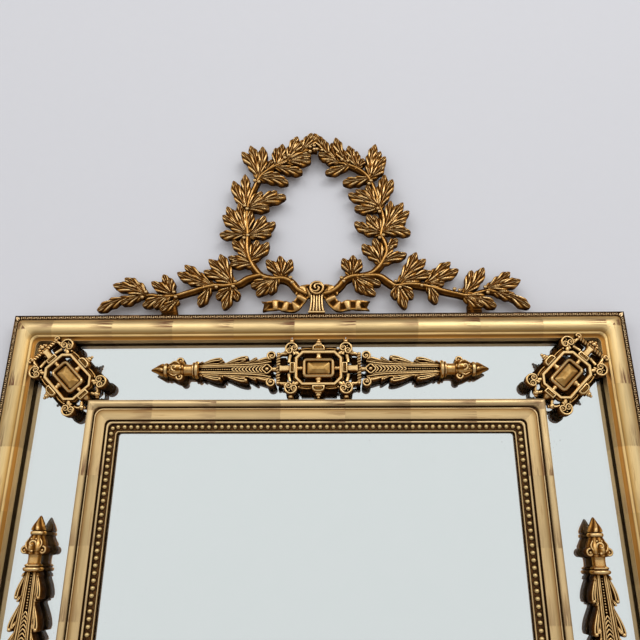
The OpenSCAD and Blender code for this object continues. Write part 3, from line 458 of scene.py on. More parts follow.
# Tones across an outer rail, by the share of its width from the outer side: painted highlights
# on the torus's crown and on the flat inside it, painted shade on its inner flank and on the inner
# step
OUTER_TONES = (
    (0.0, SIDE_PAINT), (0.006, SIDE_PAINT), (0.012, BAND_GROUND), (0.190, BAND_GROUND),
    (0.205, (0.24, 0.12, 0.040)), (0.27, (0.68, 0.44, 0.18)), (0.50, (0.88, 0.66, 0.33)),
    (0.68, (0.86, 0.61, 0.27)), (0.76, (0.68, 0.41, 0.13)), (0.792, (0.58, 0.32, 0.09)),
    (0.806, (0.90, 0.63, 0.27)), (0.862, (0.90, 0.61, 0.24)), (0.885, (0.50, 0.22, 0.045)),
    (0.985, (0.42, 0.19, 0.035)), (0.995, (0.66, 0.44, 0.20)))
# Tones of an inner rail, from its grooves up to its beads
INNER_TONES = (
    (0.0, (0.016, 0.007, 0.003)), (0.25, (0.085, 0.032, 0.009)), (0.5, (0.34, 0.16, 0.045)),
    (0.62, (0.50, 0.30, 0.11)), (0.8, (0.80, 0.575, 0.275)), (0.88, (0.88, 0.64, 0.32)),
    (1.0, (0.92, 0.67, 0.34)))


def drawn_out(along, share):
    """The stretch of a pattern that runs along a rail."""
    return (share, 1.0, 1.0) if along == "x" else (1.0, 1.0, share)


def set_stops(ramp, stops):
    """Gives a colour ramp its places and colours."""
    ramp.elements.remove(ramp.elements[-1])
    ramp.elements[0].position = stops[0][0]
    ramp.elements[0].color = (*stops[0][1], 1.0)
    for at, colour in stops[1:]:
        ramp.elements.new(at).color = (*colour, 1.0)


class Nodes:
    """A material's node tree, with short calls for what is used here."""

    def __init__(self, name):
        self.material = bpy.data.materials.new(name)
        self.material.use_nodes = True
        self.tree = self.material.node_tree
        self.tree.nodes.clear()
        self.shader = self.node("ShaderNodeBsdfPrincipled")
        self.out = self.node("ShaderNodeOutputMaterial")
        self.link(self.shader.outputs["BSDF"], self.out.inputs["Surface"])

    def node(self, kind, **settings):
        made = self.tree.nodes.new(kind)
        for key, value in settings.items():
            setattr(made, key, value)
        return made

    def link(self, a, b):
        self.tree.links.new(a, b)

    def put(self, socket, value):
        """A value, a colour of three numbers or another node's output into an input."""
        if isinstance(value, bpy.types.NodeSocket):
            self.link(value, socket)
        elif socket.type == "RGBA":
            socket.default_value = (*value, 1.0)
        else:
            socket.default_value = value

    def math(self, operation, a, b=0.0, c=0.0, clamp=False):
        made = self.node("ShaderNodeMath", operation=operation, use_clamp=clamp)
        for socket, value in zip(made.inputs, (a, b, c)):
            self.put(socket, value)
        return made.outputs[0]

    def product(self, first, *others):
        """All the values multiplied, from the first to the last."""
        for other in others:
            first = self.math("MULTIPLY", first, other)
        return first

    def line(self, value, slope, base):
        """A value times slope, plus base."""
        return self.math("MULTIPLY_ADD", value, slope, base)

    def stirred(self, value, noise, share, clamp=False):
        """A value with a share of a noise added, taken about the noise's middle."""
        return self.math("MULTIPLY_ADD", self.math("SUBTRACT", noise, 0.5), share, value, clamp)

    def span(self, value, low, high, to_low=0.0, to_high=1.0):
        """A smooth step from to_low to to_high while the value goes from low to high."""
        made = self.node("ShaderNodeMapRange", interpolation_type="SMOOTHSTEP")
        for key, x in (("Value", value), ("From Min", low), ("From Max", high),
                       ("To Min", to_low), ("To Max", to_high)):
            self.put(made.inputs[key], x)
        return made.outputs[0]

    def ramp(self, value, stops):
        made = self.node("ShaderNodeValToRGB")
        set_stops(made.color_ramp, stops)
        self.put(made.inputs["Fac"], value)
        return made.outputs["Color"]

    def mix(self, share, a, b):
        made = self.node("ShaderNodeMix", data_type="RGBA")
        for key, x in (("Factor", share), ("A", a), ("B", b)):
            self.put(made.inputs[key], x)
        return made.outputs["Result"]

    def noise(self, vector, scale, detail=3.0, roughness=0.55, distortion=0.0):
        made = self.node("ShaderNodeTexNoise")
        for key, x in (("Vector", vector), ("Scale", scale), ("Detail", detail),
                       ("Roughness", roughness), ("Distortion", distortion)):
            self.put(made.inputs[key], x)
        return made.outputs["Fac"]

    def place(self, scale=(1.0, 1.0, 1.0)):
        """The place on the frame, in metres, stretched by scale."""
        made = self.node("ShaderNodeMapping")
        self.link(self.node("ShaderNodeTexCoord").outputs["Object"], made.inputs["Vector"])
        made.inputs["Scale"].default_value = scale
        return made.outputs["Vector"]

    def axis(self, vector, letter):
        split = self.node("ShaderNodeSeparateXYZ")
        self.link(vector, split.inputs[0])
        return split.outputs[letter]

    def gilt(self):
        """The value of gilding and painted light and shade that a shape holds for each corner."""
        return self.node("ShaderNodeAttribute", attribute_name="gilt").outputs["Fac"]

    def cavity(self, distance):
        made = self.node("ShaderNodeAmbientOcclusion", samples=6)
        made.inputs["Distance"].default_value = distance
        return made.outputs["AO"]

    def bump(self, height, strength, distance):
        made = self.node("ShaderNodeBump")
        made.inputs["Strength"].default_value = strength
        made.inputs["Distance"].default_value = distance
        self.link(height, made.inputs["Height"])
        self.link(made.outputs["Normal"], self.shader.inputs["Normal"])

    def set(self, **values):
        names = {"colour": "Base Color", "metal": "Metallic", "rough": "Roughness",
                 "glass": "Transmission Weight", "ior": "IOR", "specular": "Specular IOR Level",
                 "coat": "Coat Weight", "coat_rough": "Coat Roughness", "tint": "Specular Tint"}
        for key, value in values.items():
            self.put(self.shader.inputs[names[key]], value)


def antique_gold(name, bright, middle, shade, dark, cavity_mm=5.0, wear=0.0):
    """Old gilding, bright on what stands proud and brown in the hollows and on the walls: patina in
    the hollows, with painted light and shade from the occlusion and the shapes' values.
    """
    n = Nodes(name)
    fine = n.noise(n.place(), 900.0, detail=4.0)
    broad = n.noise(n.place(), 140.0, detail=3.0)
    # The occlusion paints shade into hollows and between parts, on top of the patina
    open_air = n.span(n.cavity(cavity_mm * MM), 0.35, 0.95)
    cover_and_shade = n.product(n.gilt(), open_air)
    patchy_gilt_and_shade = n.stirred(n.stirred(cover_and_shade, fine, 0.5), broad, 0.3 + wear, clamp=True)
    colour = n.ramp(patchy_gilt_and_shade, ((0.0, dark), (0.32, shade), (0.68, middle), (1.0, bright)))
    normal = n.node("ShaderNodeNewGeometry").outputs["Normal"]
    behind = n.span(n.axis(normal, "Y"), 0.4, 0.8)
    n.set(colour=n.mix(behind, colour, BARE_BACK), rough=n.span(patchy_gilt_and_shade, 0.1, 0.9, 0.55, 0.25),
          metal=n.product(n.span(patchy_gilt_and_shade, 0.15, 0.5, 0.1, 0.97), n.math("SUBTRACT", 1.0, behind)),
          specular=0.03, tint=(1.0, 0.78, 0.48))
    n.bump(fine, 0.22, 0.0004)
    return n.material


def leafed_gold(name, along, step, lap, outer=False):
    """Squares of gold leaf laid along a rail, with lap lines and rubbed places.

    step is the way from lap to lap and lap the place of one of them, in metres. The tone
    follows the gilding-and-shade value of the shape: for an outer rail, its share of the rail's
    width.
    """
    n = Nodes(name)
    run = n.axis(n.place(), along.upper())
    if along == "z":
        run, lap = n.product(run, -1.0), -lap
    # Twenty steps more keep the count of laps above zero on the whole frame
    count = n.math("DIVIDE", n.math("ADD", run, 20 * step - lap), step)
    share = n.math("FRACT", count)
    white = n.node("ShaderNodeTexWhiteNoise", noise_dimensions="1D")
    n.link(n.math("FLOOR", count), white.inputs["W"])
    tone = white.outputs["Value"]
    streak = n.noise(n.place(drawn_out(along, 0.035)), 900.0, detail=5.0, roughness=0.6)
    grit = n.noise(n.place(), 1500.0, detail=2.0)
    coarse = n.noise(n.place(drawn_out(along, 0.07)), 300.0, detail=3.0)
    worn = n.line(coarse, 0.65, n.product(streak, 0.35))
    zone = n.gilt()
    if outer:
        base = n.ramp(zone, OUTER_TONES)
        gloss = n.span(zone, 0.985, 0.995, 0.0, 0.5)
        exposed = n.product(n.span(zone, 0.19, 0.30), n.span(zone, 0.52, 0.66, 1.0, 0.35))
    else:
        base = n.ramp(zone, INNER_TONES)
        gloss = n.span(zone, 0.86, 0.96, 1.0, 0.0)
        exposed = n.span(zone, 0.88, 0.94, 0.42, 0.85)
    scaled = n.node("ShaderNodeVectorMath", operation="SCALE")
    n.link(base, scaled.inputs[0])
    n.link(n.line(worn, 0.7, n.line(tone, 0.22, 0.51)), scaled.inputs["Scale"])
    before_lap = n.span(share, 0.52, 0.95)
    after_lap = n.span(share, 0.0, 0.02, 1.0, 0.0)
    rub = n.product(n.math("MAXIMUM", before_lap, n.product(after_lap, 0.6)),
                    n.span(worn, 0.44, 0.54), n.span(tone, 0.1, 0.5, 0.6, 1.0), exposed)
    flecks = n.product(n.span(worn, 0.56, 0.66), 0.5)
    # The occlusion paints shade into the hollows and grooves
    hollow = n.span(n.cavity(0.006), 0.2, 0.8)
    colour = n.mix(rub, scaled.outputs[0], (0.20, 0.085, 0.045))
    colour = n.mix(flecks, colour, (0.36, 0.18, 0.055))
    colour = n.mix(hollow, (0.035, 0.016, 0.006), colour)
    metal = n.product(n.span(hollow, 0.2, 0.8, 0.1, 0.9), n.span(rub, 0.0, 1.0, 1.0, 0.6),
                      n.span(gloss, 0.0, 1.0, 1.0, 0.6))
    rough = n.line(streak, 0.26, n.span(gloss, 0.0, 1.0, 0.25, 0.42))
    n.set(colour=colour, metal=metal, rough=rough, specular=0.05, tint=(1.0, 0.82, 0.55))
    n.bump(n.line(before_lap, 0.3, n.line(streak, 0.8, n.product(grit, 0.3))), 0.14, 0.0004)
    return n.material


def satin_stone(name):
    """The set stones: an amber gold lacquer with a soft sheen."""
    n = Nodes(name)
    cloud = n.noise(n.place(), 120.0, detail=3.0)
    grain = n.noise(n.place(), 1400.0, detail=2.0)
    # The occlusion paints shade where the stone meets its setting
    edge = n.span(n.cavity(0.003), 0.3, 0.9)
    colour = n.mix(n.span(cloud, 0.35, 0.7), (0.52, 0.27, 0.06), (0.74, 0.45, 0.14))
    n.set(colour=n.mix(edge, (0.05, 0.02, 0.008), colour), metal=0.75,
          rough=n.line(grain, 0.15, 0.26), coat=0.25, coat_rough=0.25)
    n.bump(grain, 0.08, 0.0003)
    return n.material


def pearl_gold(name):
    n = Nodes(name)
    fine = n.noise(n.place(), 700.0, detail=3.0)
    # The occlusion paints shade between the pearls and at their feet
    open_air = n.span(n.cavity(0.004), 0.25, 0.9)
    cover_and_shade = n.stirred(n.product(n.gilt(), open_air), fine, 0.5, clamp=True)
    colour = n.ramp(cover_and_shade, ((0.0, (0.020, 0.009, 0.004)), (0.3, (0.26, 0.11, 0.028)),
                            (0.6, (0.62, 0.37, 0.11)), (0.95, (0.84, 0.62, 0.28))))
    n.set(colour=colour, metal=n.span(cover_and_shade, 0.15, 0.5, 0.1, 0.92), specular=0.05,
          rough=n.line(fine, 0.2, 0.20))
    n.bump(fine, 0.15, 0.0003)
    return n.material


def clear_glass(name):
    n = Nodes(name)
    haze = n.noise(n.place(), 35.0, detail=4.0)
    n.set(colour=n.mix(haze, (0.955, 0.975, 0.965), (0.98, 0.985, 0.98)), glass=1.0, ior=1.5,
          rough=n.span(haze, 0.55, 0.75, 0.0, 0.012))
    return n.material


def silvering(name):
    """The silver on the back of the glass, with a few grey specks of age."""
    n = Nodes(name)
    haze = n.noise(n.place(), 9.0, detail=5.0)
    speck = n.noise(n.place(), 420.0, detail=2.0)
    aged = n.product(n.span(haze, 0.52, 0.72), n.span(speck, 0.66, 0.74))
    n.set(colour=n.mix(aged, (0.885, 0.935, 0.93), (0.42, 0.40, 0.37)), metal=1.0,
          rough=n.span(aged, 0.0, 1.0, 0.008, 0.35))
    return n.material


def plain_wood(name, light, dark, along):
    n = Nodes(name)
    stretch = drawn_out(along, WOOD_STRETCH)
    grain = n.noise(n.place(stretch), 160.0, detail=6.0, roughness=0.62, distortion=0.6)
    pore = n.noise(n.place(stretch), 1400.0, detail=2.0)
    colour = n.mix(n.span(grain, 0.35, 0.65), dark, light)
    colour = n.mix(n.product(n.span(pore, 0.58, 0.7), 0.5), colour, dark)
    n.set(colour=colour, rough=n.line(pore, 0.2, 0.55))
    n.bump(pore, 0.2, 0.0004)
    return n.material


def rail_back(name, along):
    """The back of a rail: bare wood behind, dark paint on its sides."""
    n = Nodes(name)
    stretch = drawn_out(along, WOOD_STRETCH)
    grain = n.noise(n.place(stretch), 170.0, detail=6.0, roughness=0.62, distortion=0.5)
    height = n.product(n.axis(n.place(), "Y"), -1.0)
    behind = n.span(height, 0.0002, 0.0006, 1.0, 0.0)
    wood = n.mix(n.span(grain, 0.35, 0.65), (0.20, 0.115, 0.052), (0.38, 0.245, 0.125))
    paint = n.mix(grain, SIDE_PAINT, tuple(1.5 * c for c in SIDE_PAINT))
    n.set(colour=n.mix(behind, paint, wood), rough=n.line(grain, 0.2, 0.5))
    n.bump(grain, 0.15, 0.0004)
    return n.material


def old_steel(name):
    n = Nodes(name)
    cloud = n.noise(n.place(), 260.0, detail=4.0)
    fine = n.noise(n.place(), 1800.0, detail=2.0)
    colour = n.mix(n.span(cloud, 0.45, 0.7), (0.56, 0.53, 0.48), (0.30, 0.27, 0.23))
    n.set(colour=colour, metal=0.95, rough=n.line(cloud, 0.3, 0.25))
    n.bump(fine, 0.1, 0.0002)
    return n.material


CAST = antique_gold("cast_gold", (0.95, 0.66, 0.30), (0.64, 0.32, 0.075), (0.20, 0.070, 0.010),
                    (0.020, 0.008, 0.002), cavity_mm=6.0)
CARVED = antique_gold("crest_gold", (0.93, 0.64, 0.29), (0.53, 0.255, 0.054),
                      (0.15, 0.050, 0.006), (0.022, 0.009, 0.002), cavity_mm=7.0, wear=0.1)
BAND = antique_gold("band_gold", (0.92, 0.68, 0.38), (0.52, 0.28, 0.10), (0.10, 0.038, 0.010),
                    (0.012, 0.005, 0.002), cavity_mm=1.5, wear=0.1)
LEAF_OUTER = {"x": leafed_gold("outer_leaf_x", "x", 0.0793, 0.2118, outer=True),
              "z": leafed_gold("outer_leaf_z", "z", 0.0764, 0.2187, outer=True)}
LEAF_INNER = {"x": leafed_gold("inner_leaf_x", "x", 0.0795, 0.0383),
              "z": leafed_gold("inner_leaf_z", "z", 0.0795, 0.2600)}
RAIL_BACK = {"x": rail_back("rail_back_x", "x"), "z": rail_back("rail_back_z", "z")}
STONE = satin_stone("amber_stone")
PEARL = pearl_gold("pearl_gold")
GLASS = clear_glass("plate_glass")
SILVER = silvering("silvering")
PANEL = plain_wood("panel_wood", (0.42, 0.27, 0.14), (0.22, 0.125, 0.055), "z")
KEY = plain_wood("key_wood", (0.36, 0.21, 0.10), (0.20, 0.105, 0.045), "x")
STEEL = old_steel("old_steel")


# Rails

RAIL_STATIONS = 24


def at_side(side, w, h):
    """The turn and shift that carry a drawing of the top side to one of the four."""
    turn = 90.0 * side
    half = (h if side % 2 == 0 else w) / 2
    a = math.radians(turn)
    return turn, (-math.sin(a) * half, math.cos(a) * half, 0.0)


def side_length(side, w, h):
    return w if side % 2 == 0 else h


def side_piece(name, local, side, size, *looks, **settings):
    """The piece of a drawing of the top side, carried to its side of a frame of that size."""
    shape = Shape()
    shape.add_shape(local, *at_side(side, *size))
    piece(name, shape, *looks, **settings)


def rounded_rail(shape, half, profile, arc_steps=6):
    """A moulding mitred at mid-corner, with a corner radius for each point of its profile.

    profile holds inset, height, corner radius and the value of gilding and painted shade, in order
    round the section.
    """
    columns, values = [], []
    arc = np.linspace(math.pi / 4, math.pi / 2, arc_steps)
    for inset, d, radius, shine in profile:
        cx, cy = half - inset - radius, -inset - radius
        right = [(cx + radius * math.cos(a), cy + radius * math.sin(a)) for a in arc]
        middle = [(x, -inset) for x in np.linspace(cx, -cx, RAIL_STATIONS)[1:-1]]
        left = [(-x, y) for x, y in right[::-1]]
        columns.append(level(right + middle + left, d))
        values.append(shine)
    rows = len(columns[0])
    shape.add(np.stack(columns, 1).reshape(-1, 3), shell_faces(rows, len(columns)),
              np.tile(values, rows))


def arc_points(s, d, radius, start, end, count, corner, shine):
    """Profile points along an arc; start and end are degrees from the +s direction."""
    out = []
    for a in np.radians(np.linspace(start, end, count)):
        height = math.sin(a)
        # Painted light: the value is highest at the arc's front and lower towards its sides
        out.append((s + radius * math.cos(a), d + radius * height, corner,
                    shine * min(1.0, 0.55 + 0.5 * max(0.0, height))))
    return out


def outer_profile():
    """The front of an outer rail; its gilding-and-shade value is the share of its width."""
    points = [(0.0, RAIL_SPLIT + 0.05, 0.3), (0.0, 18.9, 0.3), (0.4, 19.4, 0.3),
              (6.4, 19.4, 2.5)]
    for a in np.radians(np.linspace(172, 93, 16)):
        points.append((22.0 + 15.4 * math.cos(a), 17.8 + 12.8 * math.sin(a), None))
    for a in np.radians(np.linspace(88, 45, 9)):
        points.append((22.0 + 11.0 * math.cos(a), 19.6 + 11.0 * math.sin(a), None))
    points += [(30.1, 26.8, None), (32.4, 26.4, None), (32.8, 25.9, None), (33.8, 24.9, None),
               (35.2, 24.2, None), (36.2, 24.0, 7.0), (37.3, 24.0, 6.5), (37.5, 23.8, 6.5),
               (37.5, RAIL_SPLIT + 0.05, 6.5)]
    points = [(u, d, float(np.interp(u, (6, 10, 21, 30, 36), (3, 7, 12, 9.5, 7))) if r is None
               else r) for u, d, r in points]
    return [(u, d, r, u / OUTER_RAIL_W) for u, d, r in points]


def outer_rail(side):
    local = Shape()
    rounded_rail(local, side_length(side, *OUTER_SIZE) / 2, outer_profile(), arc_steps=9)
    side_piece("leafed_outer_rail_" + SIDES[side], local, side, OUTER_SIZE,
               [LEAF_OUTER["xz"[side % 2]]], (), "gilt_wood", smooth_deg=40)


def behind_group():
    """Nodes that leave of a rail only what lies behind its leafed moulding."""
    group = bpy.data.node_groups.new("behind_the_moulding", "GeometryNodeTree")
    for way in ("INPUT", "OUTPUT"):
        group.interface.new_socket("Geometry", in_out=way, socket_type="NodeSocketGeometry")
    start, end, weld, cube, move, cut, flat = (group.nodes.new(kind) for kind in (
        "NodeGroupInput", "NodeGroupOutput", "GeometryNodeMergeByDistance",
        "GeometryNodeMeshCube", "GeometryNodeTransform", "GeometryNodeMeshBoolean",
        "GeometryNodeSetShadeSmooth"))
    weld.inputs["Distance"].default_value = 1e-6
    width, depth = 3.0, 0.2
    cube.inputs["Size"].default_value = (width, depth, width)
    move.inputs["Translation"].default_value = (0.0, -RAIL_SPLIT * MM - depth / 2, 0.0)
    cut.operation = "DIFFERENCE"
    cut.solver = "EXACT"
    flat.inputs["Shade Smooth"].default_value = False
    for a, b in ((start.outputs[0], weld.inputs["Geometry"]),
                 (weld.outputs["Geometry"], cut.inputs["Mesh 1"]),
                 (cube.outputs["Mesh"], move.inputs["Geometry"]),
                 (move.outputs["Geometry"], cut.inputs["Mesh 2"]),
                 (cut.outputs["Mesh"], flat.inputs["Geometry"]),
                 (flat.outputs["Geometry"], end.inputs[0])):
        group.links.new(a, b)
    return group


def inner_profile():
    bead, groove, frieze = 9.5, 28.0, 31.0
    points = [(0.0, GLASS_FRONT, 0.4, 0.30), (0.0, 20.0, 0.4, 0.6)]
    points += [(s, d, 0.5 + 0.75 * s, shine) for s, d, _, shine in
               arc_points(4.75, 27.25, 4.75, 180, 0, 15, 1.0, 1.0)]
    points += [(bead, groove, 8.0, 0.04), (11.5, groove, 10.0, 0.04), (11.5, 30.5, 10.0, 0.6),
               (11.9, frieze, 10.0, 1.0), (12.7, frieze, 9.6, 0.95),
               (13.1, frieze - 0.5, 9.4, 0.3), (13.8, frieze - 0.45, 9.0, 0.60),
               (16.0, frieze - 0.2, 8.5, 0.68), (18.0, frieze - 0.05, 8.0, 0.79),
               (21.5, frieze, 7.5, 0.85), (24.6, frieze - 0.1, 7.0, 0.86),
               (25.2, frieze - 0.4, 6.8, 0.84),
               (25.5, 30.2, 6.6, 0.4), (25.5, groove, 6.6, 0.03), (27.5, groove, 6.0, 0.03)]
    points += arc_points(28.75, 29.0, 1.25, 180, 0, 7, 5.8, 1.0)
    points += [(30.0, 25.5, 5.2, 0.02), (38.5, 25.5, 4.0, 0.02), (38.5, 26.2, 4.0, 0.5),
               (38.8, 26.5, 4.0, 0.88), (39.6, 26.5, 3.6, 0.88), (40.0, 26.1, 3.4, 0.5),
               (40.0, 22.05, 3.4, 0.04), (31.0, 22.05, 3.4, 0.0), (31.0, PANEL_T, 3.4, 0.0),
               (8.0, PANEL_T, 1.0, 0.0), (8.0, GLASS_FRONT, 1.0, 0.0)]
    return points


def inner_rail(side):
    local = Shape()
    rounded_rail(local, side_length(side, *INNER_SIZE) / 2, inner_profile())
    name = "inner_rail_" + SIDES[side]
    side_piece("leafed_" + name, local, side, INNER_SIZE, [LEAF_INNER["xz"[side % 2]]], [name],
               "gilt_wood", smooth_deg=50)


def pearl_row(side):
    """A strip with its pearls; each corner pearl belongs to a top or bottom strip."""
    inset, corner, radius, pitch = 34.25, 4.8, 2.65, 8.0
    low, high, middle = 25.45, 26.6, 28.2
    half = side_length(side, *INNER_SIZE) / 2
    local = Shape()
    rounded_rail(local, half, [(30.35, low, 5.0, 0.05), (30.35, high, 5.0, 0.12),
                               (38.15, high, 4.5, 0.12), (38.15, low, 4.5, 0.05)])
    run = 2 * (half - inset)
    count = round(run / pitch)
    cut = corner * (1 - 1 / math.sqrt(2))
    first = side % 2
    for i in range(first, count + 1 - first):
        x, y = -run / 2 + i * run / count, -inset
        if i in (0, count):
            x -= math.copysign(cut, x)
            y -= cut
        ball(local, (x, y, middle), radius, segments=16, rings=10)
    side_piece("pearls_" + SIDES[side], local, side, INNER_SIZE, [PEARL],
               ["pearl_strip_" + SIDES[side]], "gilt_pearls", smooth_deg=60)


def band_relief(side):
    """Beads between C scrolls, a small bead between each pair, and a fan at each corner."""
    length = side_length(side, *OUTER_SIZE)
    local = Shape()
    base, floor, corner = 19.3, 18.1, 8
    run = length - 2 * corner
    count = round(run / 8.4)
    pitch = run / count
    for i in range(count):
        x = -length / 2 + corner + (i + 0.5) * pitch
        dome(local, (x, -3.7), (1.6, 1.75), base + 1.4, floor, segments=8, rings=2)
        for s in (-1, 1):
            ridge(local, [(x + s * 2.2, -2.2), (x + s * 2.9, -3.6), (x + s * 2.0, -5.4)],
                  [0.45, 0.7, 0.45], base + 1.0, floor, gilt=0.9)
        if i < count - 1:
            dome(local, (x + pitch / 2, -4.8), (0.9, 0.9), base + 0.9, floor, segments=6, rings=2)
    for s in (-1, 1):
        for fan in (0.0, 0.5, 1.0):
            ridge(local, [(s * (length / 2 - 2.2 - 2.0 * fan), -2.2 - 0.4 * fan),
                          (s * (length / 2 - 4.0 - 1.5 * fan), -3.4),
                          (s * (length / 2 - 7.4), -5.9 + 1.6 * fan)],
                  [0.4, 0.8, 0.4], base + 1.0, floor, gilt=0.95)
    side_piece("edge_relief_" + SIDES[side], local, side, OUTER_SIZE, [BAND], (), "gilt_wood",
               smooth_deg=50)


def glass_plate(name, outline, front):
    """A plate of glass that is silvered on its back."""
    shape = Shape()
    stack(shape, [level(outline, front - GLASS_T), level(outline, front)], [0.0, 0.0],
          [0] * len(outline) + [1, 0])
    piece("plate_" + name, shape, [GLASS, SILVER], [name], "mirror_glass", faceted=True)


def margin_glass(side):
    gap, top, bottom = 0.4, 29.5, 124.5
    half = side_length(side, *OUTER_SIZE) / 2 - gap
    outline = np.array([(-half + top, -top), (half - top, -top), (half - bottom, -bottom),
                        (-half + bottom, -bottom)])
    turn, shift = at_side(side, *OUTER_SIZE)
    glass_plate("margin_glass_" + SIDES[side], turned(outline, turn) + shift[:2], GLASS_FRONT)


def centre_glass():
    inset = 32.0
    half_w, half_h = INNER_W / 2 - inset, INNER_H / 2 - inset
    glass_plate("centre_glass", np.array([(-half_w, -half_h), (half_w, -half_h),
                                          (half_w, half_h), (-half_w, half_h)]), CENTRE_FRONT)


# Castings, drawn round the middle of the cartouche, with heights above the margin glass

# Inset, height and gilding value of the ring's and of the stone collar's outlines; the value is
# painted shade low down and painted light on top
RING_BACK = 10.2
RING = ((0, RING_BACK, 0.03), (0, 16.0, 0.5), (0.5, 16.6, 0.8), (1.3, 16.6, 0.15),
        (1.5, 18.9, 0.6), (2.1, 20, 1.0), (4.3, 20, 1.0), (5.0, 19.2, 0.7),
        (5.0, RING_BACK, 0.03))
COLLAR = ((1.5, 10.5, 0.03), (0.3, 12, 0.1), (0, 17.0, 0.5), (0.4, 18.9, 0.8), (1.5, 20.4, 1.0),
          (2.7, 20.9, 1.0), (3.8, 20.3, 0.85), (4.5, 19.0, 0.4), (4.8, 16.2, 0.03))
# The same for the box at each end of the ring, and for the swelling beside an end bar
KEYSTONE = ((0.0, RING_BACK, 0.05), (0.0, 19.6, 0.45), (0.5, 20.6, 0.85), (1.1, 21.0, 1.0),
            (1.9, 21.0, 0.95), (2.3, 19.9, 0.2))
SADDLE = ((0.0, 10.0, 0.05), (0.0, 15.6, 0.5), (0.9, 17.6, 0.9), (2.0, 18.6, 1.0))


def ring_outline(inset):
    return cut_corner_outline(63.0, 48.0, 10.0, inset)


def collar_outline(inset):
    return cut_corner_outline(41.0, 26.0, 6.0, inset, round_points=5)


def scroll_lobe(shape, x, y, sx, sy):
    """Two volutes inside a round rim, on a post."""
    for r, low, high, shine in ((6.9, CAST_FLOOR, 9.0, 0.05), (6.2, 9.0, 14.6, 0.10)):
        post = circle((x, y), r, 20)
        stack(shape, [level(post, low), level(post, high)], [0.0, shine])
    out = math.degrees(math.atan2(sy * LOBE_Y, sx * LOBE_X)) * 0.55 + 90 * sy * 0.45
    c, s = math.cos(math.radians(out)), math.sin(math.radians(out))

    def spot(p, q):
        return x + p * c - q * s, y + p * s + q * c
    rim = [spot(7.2 * math.cos(a), 7.2 * math.sin(a)) for a in np.radians(range(-117, 118, 13))]
    curls = []
    for side in (-1, 1):
        curl = []
        for t in np.linspace(0.08, 1, 15):
            r = 4.3 - 3.2 * t ** 0.9
            a = math.radians(140 + 430 * t)
            curl.append(spot(-0.6 + r * math.cos(a), side * (3.6 + r * math.sin(a))))
        curls.append(curl)
        stud(shape, spot(-0.6, side * 3.6), (1.2, 1.2), 20.5, 12.0)
    ridge(shape, curls[0][::-1] + rim + curls[1], [0.6, 0.8, 1.0, 1.2, 1.2, 1.2, 1.0, 0.8, 0.6],
          [19.6, 19.4, 19.8, 20.2, 20.2, 20.2, 19.8, 19.4, 19.6], 9.0)
    stud(shape, spot(3.9, 0), (1.35, 1.35), 19.0, 12.0)
    ridge(shape, [spot(-4.0, 0), spot(-6.0, 0), spot(-8.6, 0)], [1.2, 1.7, 2.2], 18.6, 10.2)


def hatched_panel(shape, centre, size, bars, along_y):
    """The sunk face of a box, with small slanting bars."""
    for k in range(bars):
        shift = (k - (bars - 1) / 2) * ((size[1] if along_y else size[0]) / bars)
        x, y = (centre[0], centre[1] + shift) if along_y else (centre[0] + shift, centre[1])
        dx, dy = (size[0] / 2, 0.5) if along_y else (0.5, size[1] / 2)
        ridge(shape, [(x - dx, y - dy), (x + dx, y + dy)], 0.42, 20.7, 19.4, gilt=0.55)


def core(shape):
    """The open ring, the set stone and the struts between them."""
    ring_band(shape, *layers(ring_outline, RING))
    stack(shape, *layers(collar_outline, COLLAR))
    stone = cut_corner_outline(28.6, 15.4, 1.6, 0.0)
    table = cut_corner_outline(16.0, 4.0, 0.9, 0.0)
    stack(shape, [level(stone, 15.8), level(stone, 17.4), level(table, 20.7)], [0.3, 0.9, 1.0],
          slots=1)
    for s in (-1, 1):
        # Dark webs between the ring and the stone, and outside the ring: painted shade, where the
        # open ring shows only shade and its dark reflection in the glass
        for centre, size, top, floor, gilt in (
                ((0, s * 17.2), (35, 8.6), 12.6, 7.5, 0.03),
                ((s * 24.6, 0), (8.6, 23), 12.6, 7.5, 0.03),
                ((0, s * 27.6), (46, 7.4), 7.5, 3.5, 0.0)):
            block(shape, centre, size, top, floor, bevel=0.5, gilt=gilt)
        ridge(shape, [(0, s * 12.5), (0, s * 14.4), (0, s * 16.5), (0, s * 18.2), (0, s * 20.2)],
              [4.6, 4.4, 2.8, 3.4, 5.2], [18.6, 19.0, 18.2, 18.6, 19.2], 11.0)
        ridge(shape, [(s * 20.0, 0), (s * 22.0, 0), (s * 24.0, 0), (s * 26.5, 0)],
              [2.0, 3.4, 2.2, 3.4], [18.0, 18.6, 18.0, 18.6], 11.0)
        # Keystone with a sunk hatched face, and its finial
        stack(shape, *layers(lambda inset: keystone(s, inset), KEYSTONE))
        hatched_panel(shape, (0, s * 26.6), (9.5, 3.6), 6, False)
        block(shape, (0, s * 31.9), (8.0, 2.2), 18.6, 10.5, bevel=0.7)
        ball(shape, (0, s * 34.3, 16.0), (3.5, 2.7, 3.0))
        ball(shape, (0, s * 37.6, 15.2), (1.9, 1.9, 1.8))
        block(shape, (s * 32.9, 0), (7, 14), 21, RING_BACK, panel=1.1)
        hatched_panel(shape, (s * 32.9, 0), (2.6, 9.0), 5, True)
        for sx in (-1, 1):
            scroll_lobe(shape, sx * LOBE_X, s * LOBE_Y, sx, s)
            ridge(shape, [(sx * 25.4, s * 18.2), (sx * 27.6, s * 19.8), (sx * 30.0, s * 21.8)],
                  [2.4, 3.2, 2.8], [18.4, 18.8, 18.2], 10.5)
            stud(shape, (sx * 24.6, s * 24.4), (1.7, 1.5), 18.6, 10.0)
            ridge(shape, [(sx * 8.2, s * 25.4), (sx * 14.0, s * 26.2), (sx * 20.0, s * 25.6),
                          (sx * 24.6, s * 24.6)], [0.9, 0.8, 0.8, 1.0], 16.4, 10.0, gilt=0.85)


